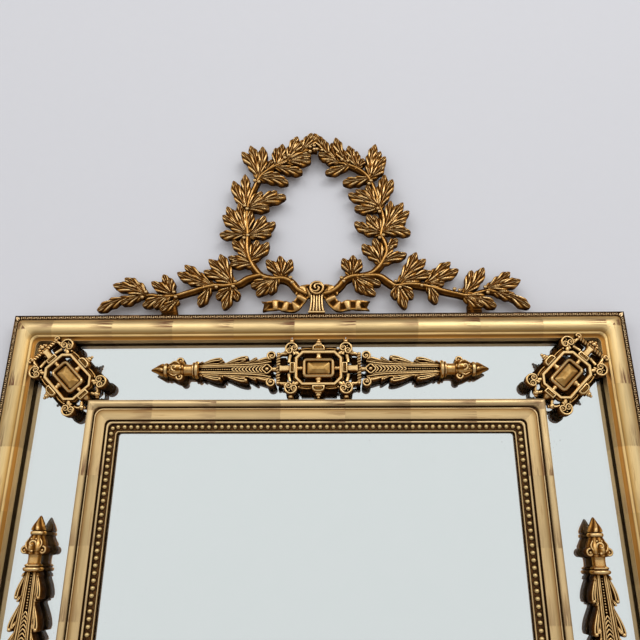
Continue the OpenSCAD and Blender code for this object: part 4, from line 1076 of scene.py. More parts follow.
def keystone(s, inset):
    """The outline of the box at the end of the ring: rounded outside, flared inside."""
    half = [(8.2, 22.6), (8.2, 26.0), (7.4, 28.6), (5.4, 30.4), (2.8, 31.2)]
    out = [(x * (1 - inset / 8.2), s * (26.6 + (y - 26.6) * (1 - inset / 4.3)))
           for x, y in half + [(-x, y) for x, y in half[::-1]]]
    return np.array(out if s > 0 else out[::-1])


def bar_of_beads(shape, side, hooks=False):
    """The beaded bar at the end of a cartouche, with its neck and, at a corner, its hooks."""
    x = side * 51.0
    block(shape, (x, 0), (4.4, 38), 14.6, 9.0, bevel=0.7, gilt=0.4)
    for k in range(-5, 5):
        y = (k + 0.5) * 3.6
        ridge(shape, [(x - 2.2, y - 1.3), (x, y), (x + 2.2, y + 1.3)], [1.2, 1.75, 1.2],
              [16.4, 17.8, 16.4], 12.0)
    stack(shape, *layers(lambda inset: saddle(side, inset), SADDLE))
    for s in (-1, 1):
        # Dark sheets in the openings beside the swelling: painted shade
        block(shape, (side * 45.2, s * 11.2), (7.6, 11.0), 8.6, 4.0, bevel=0.5, gilt=0.0)
        ridge(shape, smooth_path([(side * 38.8, s * 20.8), (side * 42.0, s * 19.6),
                                  (side * 46.0, s * 19.6), (side * 50.0, s * 18.0)], 2),
              [2.2, 1.9, 1.9, 1.6], [18.6, 17.8, 17.4, 16.6], 9.0)
        ridge(shape, smooth_path([(side * 35.6, s * 17.4), (side * 36.8, s * 12.0),
                                  (side * 37.2, s * 7.6)], 2),
              [2.1, 1.9, 2.2], [18.4, 17.8, 18.2], 10.0)
        stud(shape, (side * 42.6, s * 21.4), (1.7, 1.7), 19.2, 9.0)
        stud(shape, (x, s * 19.0), (2.5, 2.3), 18.4, 9.0)
        if hooks:
            hook = spiral((x + side * 1.0, s * 21.5), 4.0, 1.8, -90 * s, side * s * 250)
            ridge(shape, hook, [1.1, 1.2, 0.9], [16.2, 16.8, 16.4], 9.5)
            stud(shape, (x + side * 1.0, s * 21.5), (1.2, 1.2), 16.8, 10)


def saddle(side, inset):
    """The outline of the swelling between a side box and its end bar."""
    half = [(36.0, 4.2), (39.0, 4.8), (42.5, 4.4), (46.0, 4.4), (49.0, 5.4)]
    return np.array([(side * x, y - inset) for x, y in half]
                    + [(side * x, inset - y) for x, y in half[::-1]])


def cartouche_shape():
    shape = Shape()
    core(shape)
    for side in (-1, 1):
        bar_of_beads(shape, side)
        for s in (-1, 1):
            block(shape, (side * LOBE_X, s * 36.6), (6, 6.4), 13.4, 1.0, bevel=0.8, gilt=0.8)
            ball(shape, (side * LOBE_X, s * 36.2, 14.4), (2.7, 3.0, 2.4))
    return shape


def corner_shape():
    """The casting for the corners: +x points to the frame's outer corner."""
    shape = Shape()
    core(shape)
    bar_of_beads(shape, 1, hooks=True)
    for x, y, r in ((57.0, 0, 3.3), (55.6, 5.0, 2.4), (55.6, -5.0, 2.4), (60.4, 0, 1.9),
                    (58.4, 3.6, 1.7), (58.4, -3.6, 1.7)):
        ball(shape, (x, y, 14.0), (r, r, min(r, 3.0)))
    inner_x = math.sqrt(2) * (MARGIN_W - LOBE_REACH)
    ridge(shape, [(-35.5, 0), (-38.0, 0), (-inner_x + 0.6, 0)], [4.8, 3.6, 1.2],
          [18.4, 17.0, 13.6], 10.0)
    for s in (-1, 1):
        ball(shape, (-41.6, s * 12.0, 12.6), (4.0, 3.4, 3.4))
        ball(shape, (-44.6, s * 9.6, 11.0), (2.4, 2.2, 2.4))
        ridge(shape, [(-36.4, s * 8.0), (-39.5, s * 9.8), (-41.6, s * 12.0)], 1.8, 15.5, 9.0)
        ridge(shape, smooth_path([(-35.6, s * 18.2), (-39.0, s * 16.6), (-41.6, s * 13.6)], 2),
              [1.6, 1.5, 1.3], 16.4, 6.0)
    return shape


TURNED_END = ((0, 6.5), (0.3, 9), (1.2, 10.6), (2.4, 11.4), (3.8, 11.4), (4.8, 10.4), (5.0, 9.0),
              (5.6, 9.0), (6.4, 10.0), (7.6, 10.0), (8.4, 8.6), (8.8, 7.5), (11, 7.2), (15, 7.1),
              (18.4, 7.5), (19, 8))
CAPITAL = ((18.6, 8), (19.2, 10.6), (20.5, 11.2), (21.5, 10.6), (22, 11.4), (24, 12.4),
           (27, 12.5), (30, 12), (33, 11), (36, 9.6), (38.6, 8.2), (40, 7.6), (40.6, 7.0))
END_RING = ((40.2, 6.5), (40.5, 8.4), (41.4, 9.0), (43.4, 9.0), (44.4, 8.2), (44.9, 6.5))
BUD = ((44.6, 5.5), (45.4, 7.2), (47.5, 7.3), (50, 6.6), (53, 5.3), (56, 3.8), (59, 2.4),
       (61, 1.4), (62, 0.4))


def curled_leaf(shape, points, half_w, s, floor):
    """An acanthus leaf with a curled round tip; points run from its stem to its tip."""
    path = smooth_path([(x, s * y) for x, y in points], 1.6)
    ridge(shape, path, [half_w * 0.4, half_w * 0.7, half_w * 0.95, half_w],
          [12.6, 13.6, 14.2, 14.6], floor, gilt=0.30)
    side = side_vectors(path)
    vein = 0.34 * half_w
    for offset in (0.58, -0.56):
        line = path + side * (offset * np.linspace(0.3, 1.0, len(path)) * half_w)[:, None]
        ridge(shape, line[1:-1], [0.35, vein, vein * 0.9],
              [13.4, 15.2, 16.2], 10.0)
    dome(shape, path[-1] - (path[-1] - path[-3]) * 0.1, (half_w * 0.8, half_w * 0.8), 16.6,
         floor, segments=12, rings=4)


def spray_shape():
    """A spray to the right of its cartouche: volutes, reeds, chevrons, leaves, turned end."""
    shape = Shape()
    floor, collar = CAST_FLOOR, 152.0
    body = [(60, -12), (66, -11.5), (74, -10.6), (105, -8.8), (153, -6.4)]
    outline = smooth_path(body, 6)
    outline = np.vstack([outline, outline[::-1] * (1, -1)])
    stack(shape, [level(outline, floor), level(outline, 8.6)], [0.0, 0.06])
    for s in (-1, 1):
        for offset, half_w, top in ((0.0, 1.3, 13.0), (3.0, 1.15, 13.9), (5.4, 0.75, 13.3)):
            path = smooth_path([(60.5, s * (12.9 - offset * 0.9)), (72, s * (10.9 - offset)),
                                (90, s * (9.4 - offset)), (120, s * (8.0 - offset * 0.85)),
                                (153, s * (6.4 - offset * 0.7))], 4)
            ridge(shape, path[2 if offset > 4 else 0:], half_w, top, floor)
        scroll(shape, (59.8, s * 17.4), 5.5, -60 * s, s * 450, 16.6, floor, half_w=1.3, eye=2.1)
        ridge(shape, smooth_path([(61.3, s * 12.4), (66.4, s * 14.2), (70.0, s * 13.6),
                                  (78, s * 11.4), (88, s * 9.8)], 2),
              [1.2, 1.6, 1.4, 1.1, 0.8], [16.0, 15.4, 14.6, 13.8, 13.2], floor)
        for points, half_w in ((((90, 9.2), (84, 11.6), (79.5, 13.8)), 2.0),
                               (((101, 8.8), (97, 10.4), (93.5, 11.6)), 1.6),
                               (((118, 8.0), (108, 11.4), (99, 14.0), (91.5, 14.8)), 3.1),
                               (((128, 7.6), (124, 9.2), (121, 10.2)), 1.5),
                               (((150, 6.6), (141, 9.8), (132, 12.2), (124.5, 12.8)), 2.7),
                               (((153, 6.0), (150, 8.0), (147.5, 9.0)), 1.3)):
            curled_leaf(shape, points, half_w, s, floor)
    rim = np.array([(65.4 + 5.6 * math.cos(a) * (1 + 0.12 * math.cos(4 * a)),
                     5.2 * math.sin(a) * (1 + 0.12 * math.cos(4 * a)))
                    for a in full_turn(24)])
    ridge(shape, rim, 0.95, 15.4, 6.0, closed=True)
    dome(shape, (65.4, 0), (2.9, 2.8), 16.2, 6.0)
    ridge(shape, [(53.2, 0), (56, 0), (60.5, 0)], [4.2, 3.2, 2.2], 15.0, 9.8)
    for k in range(9):
        s0 = 73.6 + 4.4 * k
        w = 4.3 - 0.22 * k
        ridge(shape, [(s0 - 2.4, -w), (s0 + 0.3, -w * 0.45), (s0 + 1.5, 0), (s0 + 0.3, w * 0.45),
                      (s0 - 2.4, w)], [0.6, 0.95, 1.15, 0.95, 0.6], 14.0 - 0.08 * k, 7.5)
    for k in range(13):
        s0 = 113.5 + 2.9 * k
        r = 1.35 - 0.035 * k
        stud(shape, (s0, 0), (r, r), 12.9, 7.5)
    for profile, flutes, twist, depth in ((TURNED_END, 0, 0, 0), (CAPITAL, 9, 0, 0.05),
                                          (END_RING, 0, 0, 0), (BUD, 5, 0.22, 0.17)):
        lathe(shape, profile, collar, 10.0, flutes, twist, depth, floor)
    for s in (-1, 1):
        scroll(shape, (collar + 23.4, s * 10.2), 4.6, -90 * s, s * 400, 18.0, 3.0, half_w=1.4,
               eye=1.9)
        ridge(shape, smooth_path([(collar + 22.5, s * 3.0), (collar + 26, s * 7.6),
                                  (collar + 31, s * 9.2), (collar + 36, s * 6.4)], 2),
              [0.7, 1.1, 0.7], [21.0, 19.6, 18.4], 12.0)
        stud(shape, (collar + 35.4, s * 2.6), (1.6, 1.4), 21.0, 14.0)
    ridge(shape, spiral((collar + 30.0, 0.4), 6.2, 1.4, 100, 480, step_deg=14),
          [0.9, 1.5, 1.3, 0.9], [19.2, 21.6, 22.8, 23.2], 14.0)
    dome(shape, (collar + 22.4, 0), (1.9, 1.9), 22.8, 14.0, segments=12, rings=4)
    return shape


SPRAYS = (("top_left", "top_right"), ("left_bottom", "left_top"),
          ("bottom_right", "bottom_left"), ("right_top", "right_bottom"))


def castings():
    cartouche, corner, spray = cartouche_shape(), corner_shape(), spray_shape()
    across = OUTER_RAIL_W + MARGIN_W / 2
    for side in range(4):
        turn, edge = at_side(side, FRAME_W - 2 * across, FRAME_H - 2 * across)
        move = TOP_SHIFT if side == 0 else 0.0
        shift = (edge[0] + move, edge[1], GLASS_FRONT)
        shape = Shape()
        shape.add_shape(cartouche, turn, shift)
        name = "cartouche_" + SIDES[side]
        piece("cast_" + name, shape, [CAST, STONE], [name], "gilt_metal")
        for end in (0, 1):
            shape = Shape()
            shape.add_shape(spray, turn, shift, flip=end == 0)
            name = "spray_" + SPRAYS[side][end]
            piece("cast_" + name, shape, [CAST], [name], "gilt_metal", smooth_deg=45)
    for number, name in enumerate(CORNERS):
        sx = -1 if number < 2 else 1
        sy = 1 if number in (0, 3) else -1
        shape = Shape()
        shape.add_shape(corner, math.degrees(math.atan2(sy, sx)),
                        (sx * CORNER_X, sy * CORNER_Y, GLASS_FRONT))
        name = "corner_ornament_" + name
        piece("cast_" + name, shape, [CAST, STONE], [name], "gilt_metal")


# Crest, drawn from the middle of the frame's top edge

WREATH_LEFT_STEM = (
    (-12, 30), (-24, 37), (-33, 48), (-44, 53), (-58, 53), (-72, 57), (-81, 66), (-89, 79),
    (-94, 95), (-95, 110), (-95, 124), (-97, 142), (-97, 160), (-94, 180), (-88, 198),
    (-81, 214), (-69, 226), (-54, 235), (-40, 243), (-26, 252), (-14, 257), (-6, 260), (1, 259))
WREATH_LEFT_LEAVES = (
    ((-47, 55), ((-67, 80), (-49, 86), (-33, 81))),
    ((-51, 53), ((-87, 42), (-79, 29), (-61, 31))),
    ((-85, 74), ((-120, 86), (-117, 74))),
    ((-90, 80), ((-115, 110), (-103, 113), (-80, 111), (-65, 107))),
    ((-96, 121), ((-134, 121), (-131, 150), (-126, 164), (-109, 170), (-91, 157))),
    ((-93, 118), ((-71, 148), (-57, 139), (-62, 122))),
    ((-97, 160), ((-119, 207), (-103, 218), (-66, 162), (-77, 188))),
    ((-92, 166), ((-43, 181), (-56, 189))),
    ((-83, 213), ((-109, 256), (-97, 267), (-79, 264), (-40, 203), (-52, 217))),
    ((-74, 219), ((-63, 243),)),
    ((-58, 230), ((-59, 262), (-50, 269), (-42, 252), (-20, 221))),
    ((-42, 240), ((-8, 240), (-28, 281), (-19, 275), (-8, 250))),
    ((-22, 256), ((-7, 287), (1, 282))))
WREATH_LEFT_BERRIES = (
    (-33, 54), (-31, 46), (-94, 118), (-99, 114), (-97, 160), (-102, 165), (-82, 204),
    (-88, 206), (-46, 244), (-40, 249), (-9, 262), (-3, 258), (-9, 254), (-3, 267), (1, 258))
WREATH_RIGHT_STEM = (
    (12, 30), (22, 33), (32, 41), (39, 50), (49, 55), (60, 56), (74, 59), (84, 67), (92, 79),
    (97, 92), (95, 105), (90, 118), (93, 132), (94, 146), (90, 162), (86, 180), (80, 198),
    (73, 213), (62, 224), (48, 232), (34, 236), (20, 243), (4, 254))
WREATH_RIGHT_LEAVES = (
    ((48, 56), ((37, 81), (51, 86), (61, 80))),
    ((53, 53), ((88, 43), (80, 28), (65, 31))),
    ((89, 75), ((64, 103), (80, 111), (124, 88), (106, 104))),
    ((97, 96), ((112, 110),)),
    ((90, 119), ((54, 138), (66, 125), (72, 149), (81, 148))),
    ((92, 122), ((131, 120), (130, 154), (122, 168), (105, 170), (125, 140))),
    ((89, 160), ((54, 161), (46, 184), (57, 189), (72, 197), (98, 214), (109, 205))),
    ((77, 209), ((38, 202), (100, 244), (86, 266), (93, 254), (97, 230))),
    ((60, 226), ((47, 264), (58, 255), (68, 241))),
    ((46, 232), ((13, 220), (28, 278), (41, 251))),
    ((32, 237), ((3, 251), (14, 240), (22, 270))),
    ((20, 246), ((-4, 287), (9, 276))))
WREATH_RIGHT_BERRIES = (
    (34, 53), (38, 47), (84, 157), (89, 153), (72, 197), (78, 203), (40, 249), (46, 238),
    (9, 257), (88, 112), (93, 116))
SPRAY_LEFT_STEM = (
    (-74, 58), (-92, 53), (-104, 46), (-122, 43), (-137, 43), (-155, 39), (-172, 34),
    (-188, 29), (-205, 28), (-222, 30), (-234, 29), (-250, 26))
SPRAY_LEFT_LEAVES = (
    ((-112, 45), ((-131, 89), (-146, 82), (-152, 65))),
    ((-112, 41), ((-122, 9), (-133, 25), (-104, 22))),
    ((-138, 43), ((-179, 74), (-188, 62), (-162, 46))),
    ((-143, 40), ((-156, 14),)),
    ((-192, 30), ((-207, 60), (-197, 54), (-222, 49))),
    ((-196, 28), ((-231, 14), (-216, 12))),
    ((-184, 23), ((-207, 7),)),
    ((-228, 30), ((-274, 45), (-259, 55), (-246, 49))),
    ((-236, 29), ((-261, 18),)),
    ((-254, 27), ((-292, 8),)))
SPRAY_LEFT_BERRIES = (
    (-108, 48), (-110, 38), (-133, 40), (-190, 35), (-228, 35), (-232, 26), (-187, 26))
SPRAY_RIGHT_STEM = (
    (66, 56), (86, 55), (98, 47), (108, 41), (122, 43), (138, 42), (155, 38), (172, 33),
    (188, 29), (200, 26), (214, 29), (228, 33), (240, 31), (252, 28))
SPRAY_RIGHT_LEAVES = (
    ((113, 45), ((137, 89), (149, 79), (157, 61))),
    ((110, 42), ((119, 8), (130, 23), (106, 22))),
    ((148, 43), ((182, 75), (192, 63), (172, 43))),
    ((151, 41), ((160, 15),)),
    ((198, 28), ((210, 62), (226, 65))),
    ((199, 27), ((238, 9), (224, 18))),
    ((198, 24), ((221, 10),)),
    ((228, 36), ((260, 58), (273, 47), (250, 49))),
    ((238, 31), ((262, 23),)),
    ((252, 30), ((282, 8),)))
SPRAY_RIGHT_BERRIES = (
    (108, 47), (113, 37), (142, 40), (185, 35), (192, 34), (225, 38), (228, 29))
KNOT = (2.0, 37.0)
RIBBON_BACK = 10.2
RIBBON_GILT = 0.88
CREST_SEED = 7

LEAF_ROWS = np.concatenate([np.linspace(0, 0.85, 18), (0.90, 0.94, 0.97, 0.99, 1.0)])
LEAF_PAD = 15.0
LEAF_COLS = np.array((-1.0, -0.88, -0.74, -0.6, -0.46, -0.34, -0.22, -0.11, 0.0, 0.11, 0.22,
                      0.34, 0.46, 0.6, 0.74, 0.88, 1.0))


def leaf(shape, base, tip, drop, rng):
    """A leaf with a midrib, long slanting pads, a lobed edge and upright walls."""
    base, tip = np.array(base, float), np.array(tip, float)
    along = tip - base
    length = float(np.linalg.norm(along))
    along /= length
    side = np.array([-along[1], along[0]])
    half_w = min(14.4, 9.8 + 0.1 * length) / 2
    bend = rng.uniform(-0.06, 0.06) * length
    pads = max(2, round(length / LEAF_PAD))
    phase = rng.uniform(-0.6, 0.6)
    lean = rng.uniform(-1.0, 1.0)
    c = LEAF_COLS
    out = np.abs(c)
    near_rib = np.exp(-((out - 0.22) / 0.07) ** 2)
    rows, values = [], []
    for t in LEAF_ROWS:
        # The leaf is widest at 0.58 of its length
        if t < 0.58:
            share = 0.56 + 0.44 * math.sin(math.pi / 2 * t / 0.58)
        else:
            share = max(0.04, 1 - ((t - 0.58) / 0.42) ** 2.5) ** 0.52
        turn = 2 * math.pi * (pads * t - 1.3 * out) + phase
        crest_share = 0.5 + 0.5 * np.cos(turn)
        scallop = 1 + 0.13 * np.cos(turn) * out ** 2 * min(1.0, 4 * (1 - t))
        middle = base + along * t * length + side * bend * math.sin(math.pi * t)
        lift = LEAF_CREST - drop - 2.4 * (1 - t) ** 2 - 5.0 * max(0.0, t - 0.72)
        fade = min(1.0, 0.4 + 3.0 * t, 0.1 + 5.0 * (1 - t))
        inner = np.clip((out - 0.16) * 6, 0, 1)
        relief = (2.4 * crest_share ** 0.6 - 1.5) * inner * fade
        relief += (0.9 * np.exp(-(c / 0.10) ** 2) - 0.9 * near_rib) * fade
        relief += lean * c * 0.8 - 2.4 * out ** 4
        xy = middle[None, :] + side[None, :] * (c * half_w * share * scallop)[:, None]
        # Painted highlights on the pads and the midrib; painted shade between the pads, beside the
        # rib, at the edges, at base and tip, and on the walls
        shine = 0.05 + 0.95 * np.clip(crest_share * 1.35, 0, 1)
        shine = np.where(out < 0.15, 1.0, shine) * (1 - 0.9 * near_rib)
        shine = shine * (1 - 0.45 * out ** 8) * (0.75 + 0.25 * fade)
        heights = [LEAF_FLOOR, *(lift + relief), LEAF_FLOOR]
        rows.append(np.column_stack([np.vstack([xy[0], xy, xy[-1]]), heights]))
        values.append([0.0] + list(shine) + [0.0])
    points = np.vstack(rows)
    points[:, 2] = np.clip(points[:, 2], LEAF_FLOOR, LEAF_FRONT)
    shape.add(points + (0, TOP, 0), shell_faces(len(rows), len(rows[0])),
              np.clip(np.array(values), 0, 1).reshape(-1))


def nearest_on(path, point):
    """How far a point lies from a path, and the nearest place on it."""
    path, point = np.asarray(path, float), np.asarray(point, float)
    best = None
    for a, b in zip(path[:-1], path[1:]):
        t = np.clip(np.dot(point - a, b - a) / np.dot(b - a, b - a), 0, 1)
        place_on = a + (b - a) * t
        gap = float(np.linalg.norm(point - place_on))
        if best is None or gap < best[0]:
            best = (gap, place_on)
    return best


def branch(shape, stem, leaves, berries, rng):
    path = smooth_path(stem, 3)
    depth = 13.4 + 0.5 * np.sin(np.linspace(0, 19, len(path)))
    tube(shape, np.column_stack([path[:, 0], path[:, 1] + TOP, depth]),
         np.linspace(5.0, 2.9, len(path)), sides=20, gilt=0.8, lobes=4)
    # A dark strap under the stem, wider than it: painted shade along the stem's edges
    ridge(shape, [(x, y + TOP) for x, y in path], np.linspace(6.2, 3.9, len(path)),
          13.0, CREST_FLOOR, gilt=0.12)
    for i, (base, tips) in enumerate(leaves):
        # A dark dome where the leaves of a group grow together: painted shade between their bases
        away = np.mean(np.asarray(tips, float), axis=0) - base
        middle = np.asarray(base, float) + away * min(0.3, 7.0 / np.linalg.norm(away))
        size = 4.0 + 1.1 * len(tips)
        dome(shape, (middle[0], middle[1] + TOP), (size, size), 13.5, CREST_FLOOR, gilt=0.12)
        for j, tip in enumerate(tips):
            leaf(shape, base, tip, 0.3 * ((3 * i + 2 * j) % 7), rng)
    for berry in berries:
        gap, foot = nearest_on(stem, berry)
        spot = foot + (np.asarray(berry, float) - foot) * min(1.0, 4.2 / max(4.2, gap))
        x, y = spot[0], spot[1] + TOP
        tube(shape, [(foot[0], foot[1] + TOP, 13.0), (x, y, 16.0)], 1.3, sides=8,
             gilt=0.4)
        ball(shape, (x, y, 17.8), (2.7, 2.6, 2.6), segments=16, rings=10)
        dome(shape, (x + 0.4, y + 0.6), (0.7, 0.7), 20.7, 19.0, segments=8, rings=3, gilt=0.3)


def foot_block(shape, x0, x1, top, stem):
    """A low block on the frame's edge, with a curved strut up to the stem."""
    mid = (x0 + x1) / 2
    base = TOP
    # The block is kept dark: painted shade under the leaf that hangs over it
    block(shape, (mid, base + top / 2 + 0.2), (x1 - x0, top - 0.4), 15.4, CREST_FLOOR, bevel=1.4,
          gilt=0.10)
    for up in (0.42, 0.78):
        ridge(shape, [(x0 + 1.0, base + up * top), (x1 - 1.0, base + up * top)], 0.9, 16.4, 9.0,
              gilt=0.3)
    path = smooth_path([(stem[0] + 2.6, base + 1.0), (stem[0] + 0.6, base + top),
                        (stem[0], base + (top + stem[1]) / 2), (stem[0] + 1.0, base + stem[1])], 2)
    ridge(shape, path, [3.6, 3.0, 2.6, 2.4], [16.0, 16.4, 16.6, 16.0], CREST_FLOOR, gilt=0.35)


def ribbon(shape, path, half_w, first_fold, notch=0.0):
    """A rippled ribbon, with painted light where it stands up and painted shade in its folds."""
    path = smooth_path([(x, y + TOP) for x, y in path], 1.0)
    n = len(path)
    side = side_vectors(path)
    along = np.gradient(path, axis=0)
    along /= np.linalg.norm(along, axis=1, keepdims=True)
    run = np.concatenate([[0], np.cumsum(np.linalg.norm(np.diff(path, axis=0), axis=1))])
    fold = np.sin(run / 14.0 * 2 * math.pi + first_fold)
    width = half_w * (0.97 + 0.05 * fold)
    rows, values = [], []
    across = np.linspace(-1, 1, 11)
    for i in range(n):
        reach = notch * (np.abs(across) - 0.5) * max(0.0, run[i] / run[-1] - 0.85) / 0.15
        xy = path[i][None, :] + side[i][None, :] * (across * width[i])[:, None]
        xy = xy + along[i][None, :] * reach[:, None]
        dip = np.clip((0.9 - np.abs(across)) * 3, 0, 1)
        z = 16.8 + 1.5 * np.where(fold[i] < 0, fold[i] * dip, fold[i]) - 1.2 * np.abs(across) ** 4
        rows += [np.column_stack([xy, z]), level(xy[::-1], RIBBON_BACK)]
        hollow = max(0.0, min(1.0, 0.5 - 1.6 * fold[i]))
        shine = np.clip(0.92 - 0.87 * hollow * dip, 0.05, 1.0)
        values.append(list(shine) + [0.0] * len(across))
    shape.add(np.vstack(rows), shell_faces(n, 2 * len(across)),
              np.array(values).reshape(-1) * RIBBON_GILT)


def bow(shape):
    x, y = KNOT[0], KNOT[1] + TOP
    disc = circle((x, y), 10.4, 32)
    inner = (disc - (x, y)) * 0.92 + (x, y)
    stack(shape, [level(disc, CREST_FLOOR), level(disc, 16.6), level(inner, 18.0)], [0.0, 0.35, 0.15])
    rim = (disc[::2] - (x, y)) * 0.83 + (x, y)
    ridge(shape, rim, 1.75, 21.2, 14.0, closed=True, gilt=0.85)
    for start in (0, 180):
        curl = spiral((x, y), 7.6, 1.5, start + 20, 210, step_deg=12, power=0.8)
        ridge(shape, curl, [1.3, 1.6, 1.7, 1.2], [21.2, 21.8, 22.2, 21.8], 14.0, gilt=0.9)
    base = TOP
    strap = np.array([(x - 11.5, base + 0.2), (x + 11.5, base + 0.2), (x + 9, base + 6),
                      (x + 8.3, base + 27), (x + 8.0, base + 34), (x - 8.0, base + 34),
                      (x - 8.3, base + 27), (x - 9, base + 6)])
    stack(shape, [level(strap, CREST_FLOOR), level(strap, 16.8)], [0.0, 0.12])
    for k in range(-2, 3):
        ridge(shape, smooth_path([(x + k * 4.6, base + 2.5), (x + k * 3.9, base + 8),
                                  (x + k * 3.4, base + 19), (x + k * 3.5, base + 27)], 3),
              [1.7, 1.5, 1.25, 1.35], [19.6, 19.9, 19.6, 18.6], 12.0)
    ridge(shape, [(x - 11.0, base + 2.2), (x + 11.0, base + 2.2)], 1.9, 20.8, 9.0)
    for s in (-1, 1):
        ribbon(shape, [(x + s * 9.5, 37), (x + s * 14, 36.5), (x + s * 19.5, 33),
                       (x + s * 22, 27)], 7.4, 4.2)
    ribbon(shape, [(-8, 32), (-15, 28), (-21, 19), (-29, 11), (-39, 12), (-49, 14.5), (-58, 13.5),
                   (-66, 12.5)], 6.9, 2.0, notch=9.0)
    ribbon(shape, [(12, 32), (18, 27), (24, 17), (33, 11), (44, 13.5), (55, 13.5), (62, 13),
                   (68, 12.5)], 6.9, 2.0, notch=9.0)


def press_tips(shape):
    """Presses the topmost leaf tips down a little, so that they end below the CAD's top."""
    for points in shape.points:
        past = np.maximum(points[:, 1] - TIP_LEVEL, 0.0)
        points[:, 1] -= (1 - TIP_SHARE) * past


def crest():
    rng = random.Random(CREST_SEED)
    for name, stem, leaves, berries, foot in (
            ("crest_wreath_left", WREATH_LEFT_STEM, WREATH_LEFT_LEAVES, WREATH_LEFT_BERRIES, ()),
            ("crest_wreath_right", WREATH_RIGHT_STEM, WREATH_RIGHT_LEAVES, WREATH_RIGHT_BERRIES,
             ()),
            ("crest_spray_left", SPRAY_LEFT_STEM, SPRAY_LEFT_LEAVES, SPRAY_LEFT_BERRIES,
             (-205, -185, 11.5, (-189, 29))),
            ("crest_spray_right", SPRAY_RIGHT_STEM, SPRAY_RIGHT_LEAVES, SPRAY_RIGHT_BERRIES,
             (200, 219, 12, (204, 26)))):
        shape = Shape()
        branch(shape, stem, leaves, berries, rng)
        if foot:
            foot_block(shape, *foot)
        press_tips(shape)
        piece("carved_" + name, shape, [CARVED], [name], "gilt_crest", smooth_deg=50)
    shape = Shape()
    bow(shape)
    piece("carved_crest_bow", shape, [CARVED], ["crest_bow"], "gilt_crest", smooth_deg=50)


# CAD pieces that are shown as they are

def cad_materials():
    by_name = {"back_panel": PANEL, "backing_board": PANEL, "outer_corner_keys": KEY,
               "inner_corner_keys": KEY, "crest_dowels": KEY}
    group = behind_group()
    for side in range(4):
        by_name["outer_rail_" + SIDES[side]] = RAIL_BACK["xz"[side % 2]]
    for name in frame["nodes"]:
        obj = bpy.data.objects[name]
        obj.data.materials.clear()
        obj.data.materials.append(by_name.get(name, STEEL))
        if name.startswith("outer_rail_"):
            obj.modifiers.new("behind_the_moulding", "NODES").node_group = group


# Stage: a wall just behind the frame, a floor below it, soft light from above

WALL_Y = 0.002
FLOOR_Z = -1.2
STAGE_REACH = 4
WALL_TOP = 3
# Name, place, size and watts of each lamp
LAMPS = (("stage_key_light", (0.95, -1.9, 1.85), (1.3, 0.9), 10.3),
         ("stage_fill_light", (-1.0, -1.8, 1.9), (1.6, 1.0), 6.0))
LAMP_AIM = (0.0, 0.0, 0.3)
# Brightness of the surroundings, from straight below to straight above
SKY = ((0.0, 0.15), (0.30, 0.24), (0.40, 0.48), (0.455, 0.76), (0.662, 0.79), (0.69, 0.96),
       (0.76, 0.90), (0.85, 0.66), (0.92, 0.45), (0.97, 0.36), (1.0, 0.34))


def stage_material(name, colour, grain):
    n = Nodes(name)
    cloud = n.noise(n.place(), grain, detail=3.0)
    warm = tuple(c * 0.985 for c in colour)
    n.set(colour=n.mix(cloud, colour, warm), rough=0.9, specular=0.1)
    n.bump(cloud, 0.05, 0.0005)
    return n


def stage():
    wall = stage_material("wall_paint", (0.865, 0.868, 0.90), 60.0)
    clear = wall.node("ShaderNodeBsdfTransparent")
    back = wall.node("ShaderNodeNewGeometry")
    mix = wall.node("ShaderNodeMixShader")
    wall.link(back.outputs["Backfacing"], mix.inputs["Fac"])
    wall.link(wall.shader.outputs["BSDF"], mix.inputs[1])
    wall.link(clear.outputs["BSDF"], mix.inputs[2])
    wall.link(mix.outputs["Shader"], wall.out.inputs["Surface"])
    floor = stage_material("floor_paint", (0.62, 0.61, 0.63), 20.0)
    r = STAGE_REACH
    planes = (("stage_wall", [(-r, WALL_Y, FLOOR_Z), (r, WALL_Y, FLOOR_Z), (r, WALL_Y, WALL_TOP),
                              (-r, WALL_Y, WALL_TOP)], wall),
              ("stage_floor", [(-r, -r, FLOOR_Z), (r, -r, FLOOR_Z), (r, r, FLOOR_Z),
                               (-r, r, FLOOR_Z)], floor))
    for name, corners, material in planes:
        mesh = bpy.data.meshes.new(name)
        mesh.from_pydata(corners, [], [(0, 1, 2, 3)])
        mesh.materials.append(material.material)
        obj = bpy.data.objects.new(name, mesh)
        bpy.context.scene.collection.objects.link(obj)
        # The wall casts no shadow and sends no diffuse light to the frame
        if name == "stage_wall":
            obj.visible_diffuse = False
            obj.visible_shadow = False
    for name, location, size, watts in LAMPS:
        light = bpy.data.lights.new(name, "AREA")
        light.shape = "RECTANGLE"
        light.size, light.size_y = size
        light.energy = watts
        lamp = bpy.data.objects.new(name, light)
        lamp.location = location
        aim = Vector(LAMP_AIM) - lamp.location
        lamp.rotation_euler = aim.to_track_quat("-Z", "Y").to_euler()
        bpy.context.scene.collection.objects.link(lamp)


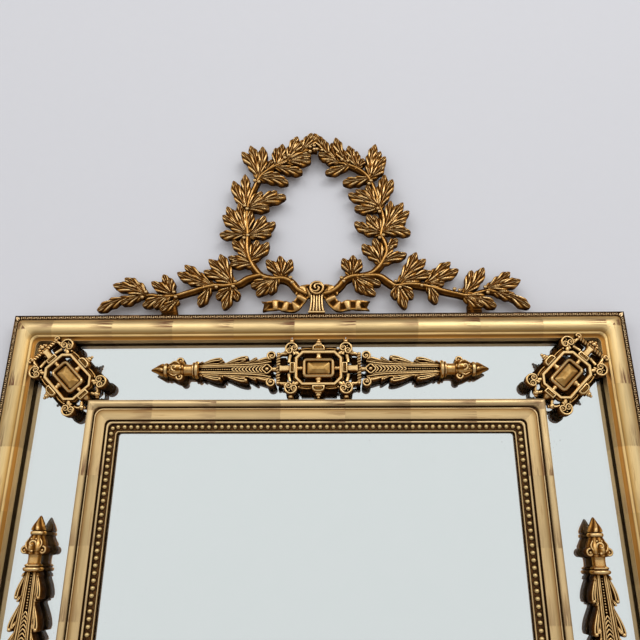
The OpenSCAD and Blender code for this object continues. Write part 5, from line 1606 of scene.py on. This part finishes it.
def sky():
    world = bpy.data.worlds.new("soft_room")
    world.use_nodes = True
    bpy.context.scene.world = world
    tree = world.node_tree
    tree.nodes.clear()
    out = tree.nodes.new("ShaderNodeOutputWorld")
    shade = tree.nodes.new("ShaderNodeBackground")
    split = tree.nodes.new("ShaderNodeSeparateXYZ")
    ramp = tree.nodes.new("ShaderNodeValToRGB")
    height = tree.nodes.new("ShaderNodeMapRange")
    front = tree.nodes.new("ShaderNodeMapRange")
    tree.links.new(tree.nodes.new("ShaderNodeTexCoord").outputs["Generated"], split.inputs[0])
    tree.links.new(split.outputs["Z"], height.inputs["Value"])
    tree.links.new(split.outputs["Y"], front.inputs["Value"])
    height.inputs["From Min"].default_value = -1.0
    front.interpolation_type = "SMOOTHSTEP"
    for key, value in (("From Min", -0.75), ("From Max", 0.1), ("To Min", 1.0), ("To Max", 0.62)):
        front.inputs[key].default_value = value
    tree.links.new(height.outputs["Result"], ramp.inputs["Fac"])
    set_stops(ramp.color_ramp, [(at, (grey, grey, grey * 1.01)) for at, grey in SKY])
    tree.links.new(front.outputs["Result"], shade.inputs["Strength"])
    tree.links.new(ramp.outputs["Color"], shade.inputs["Color"])
    tree.links.new(shade.outputs["Background"], out.inputs["Surface"])


def camera():
    data = bpy.data.cameras.new("photo_camera")
    data.sensor_width = SENSOR_MM
    data.lens = FOCAL_PX / PICTURE_PX * SENSOR_MM
    data.clip_start = 0.01
    obj = bpy.data.objects.new("photo_camera", data)
    bpy.context.scene.collection.objects.link(obj)
    p, y, r = (math.radians(v) for v in (-CAMERA_TILT, CAMERA_PAN, CAMERA_ROLL))
    tilt = Matrix(((1, 0, 0), (0, math.cos(p), -math.sin(p)), (0, math.sin(p), math.cos(p))))
    pan = Matrix(((math.cos(y), 0, math.sin(y)), (0, 1, 0), (-math.sin(y), 0, math.cos(y))))
    roll = Matrix(((math.cos(r), -math.sin(r), 0), (math.sin(r), math.cos(r), 0), (0, 0, 1)))
    rows = [Vector((row[0], row[2], -row[1])) for row in roll @ tilt @ pan]
    axes = Matrix((rows[0], -rows[1], -rows[2])).transposed()
    obj.matrix_world = Matrix.Translation(CAMERA_PLACE) @ axes.to_4x4()
    bpy.context.scene.camera = obj


camera()
stage()
sky()
for number in range(4):
    outer_rail(number)
    band_relief(number)
    inner_rail(number)
    pearl_row(number)
    margin_glass(number)
centre_glass()
castings()
crest()
cad_materials()
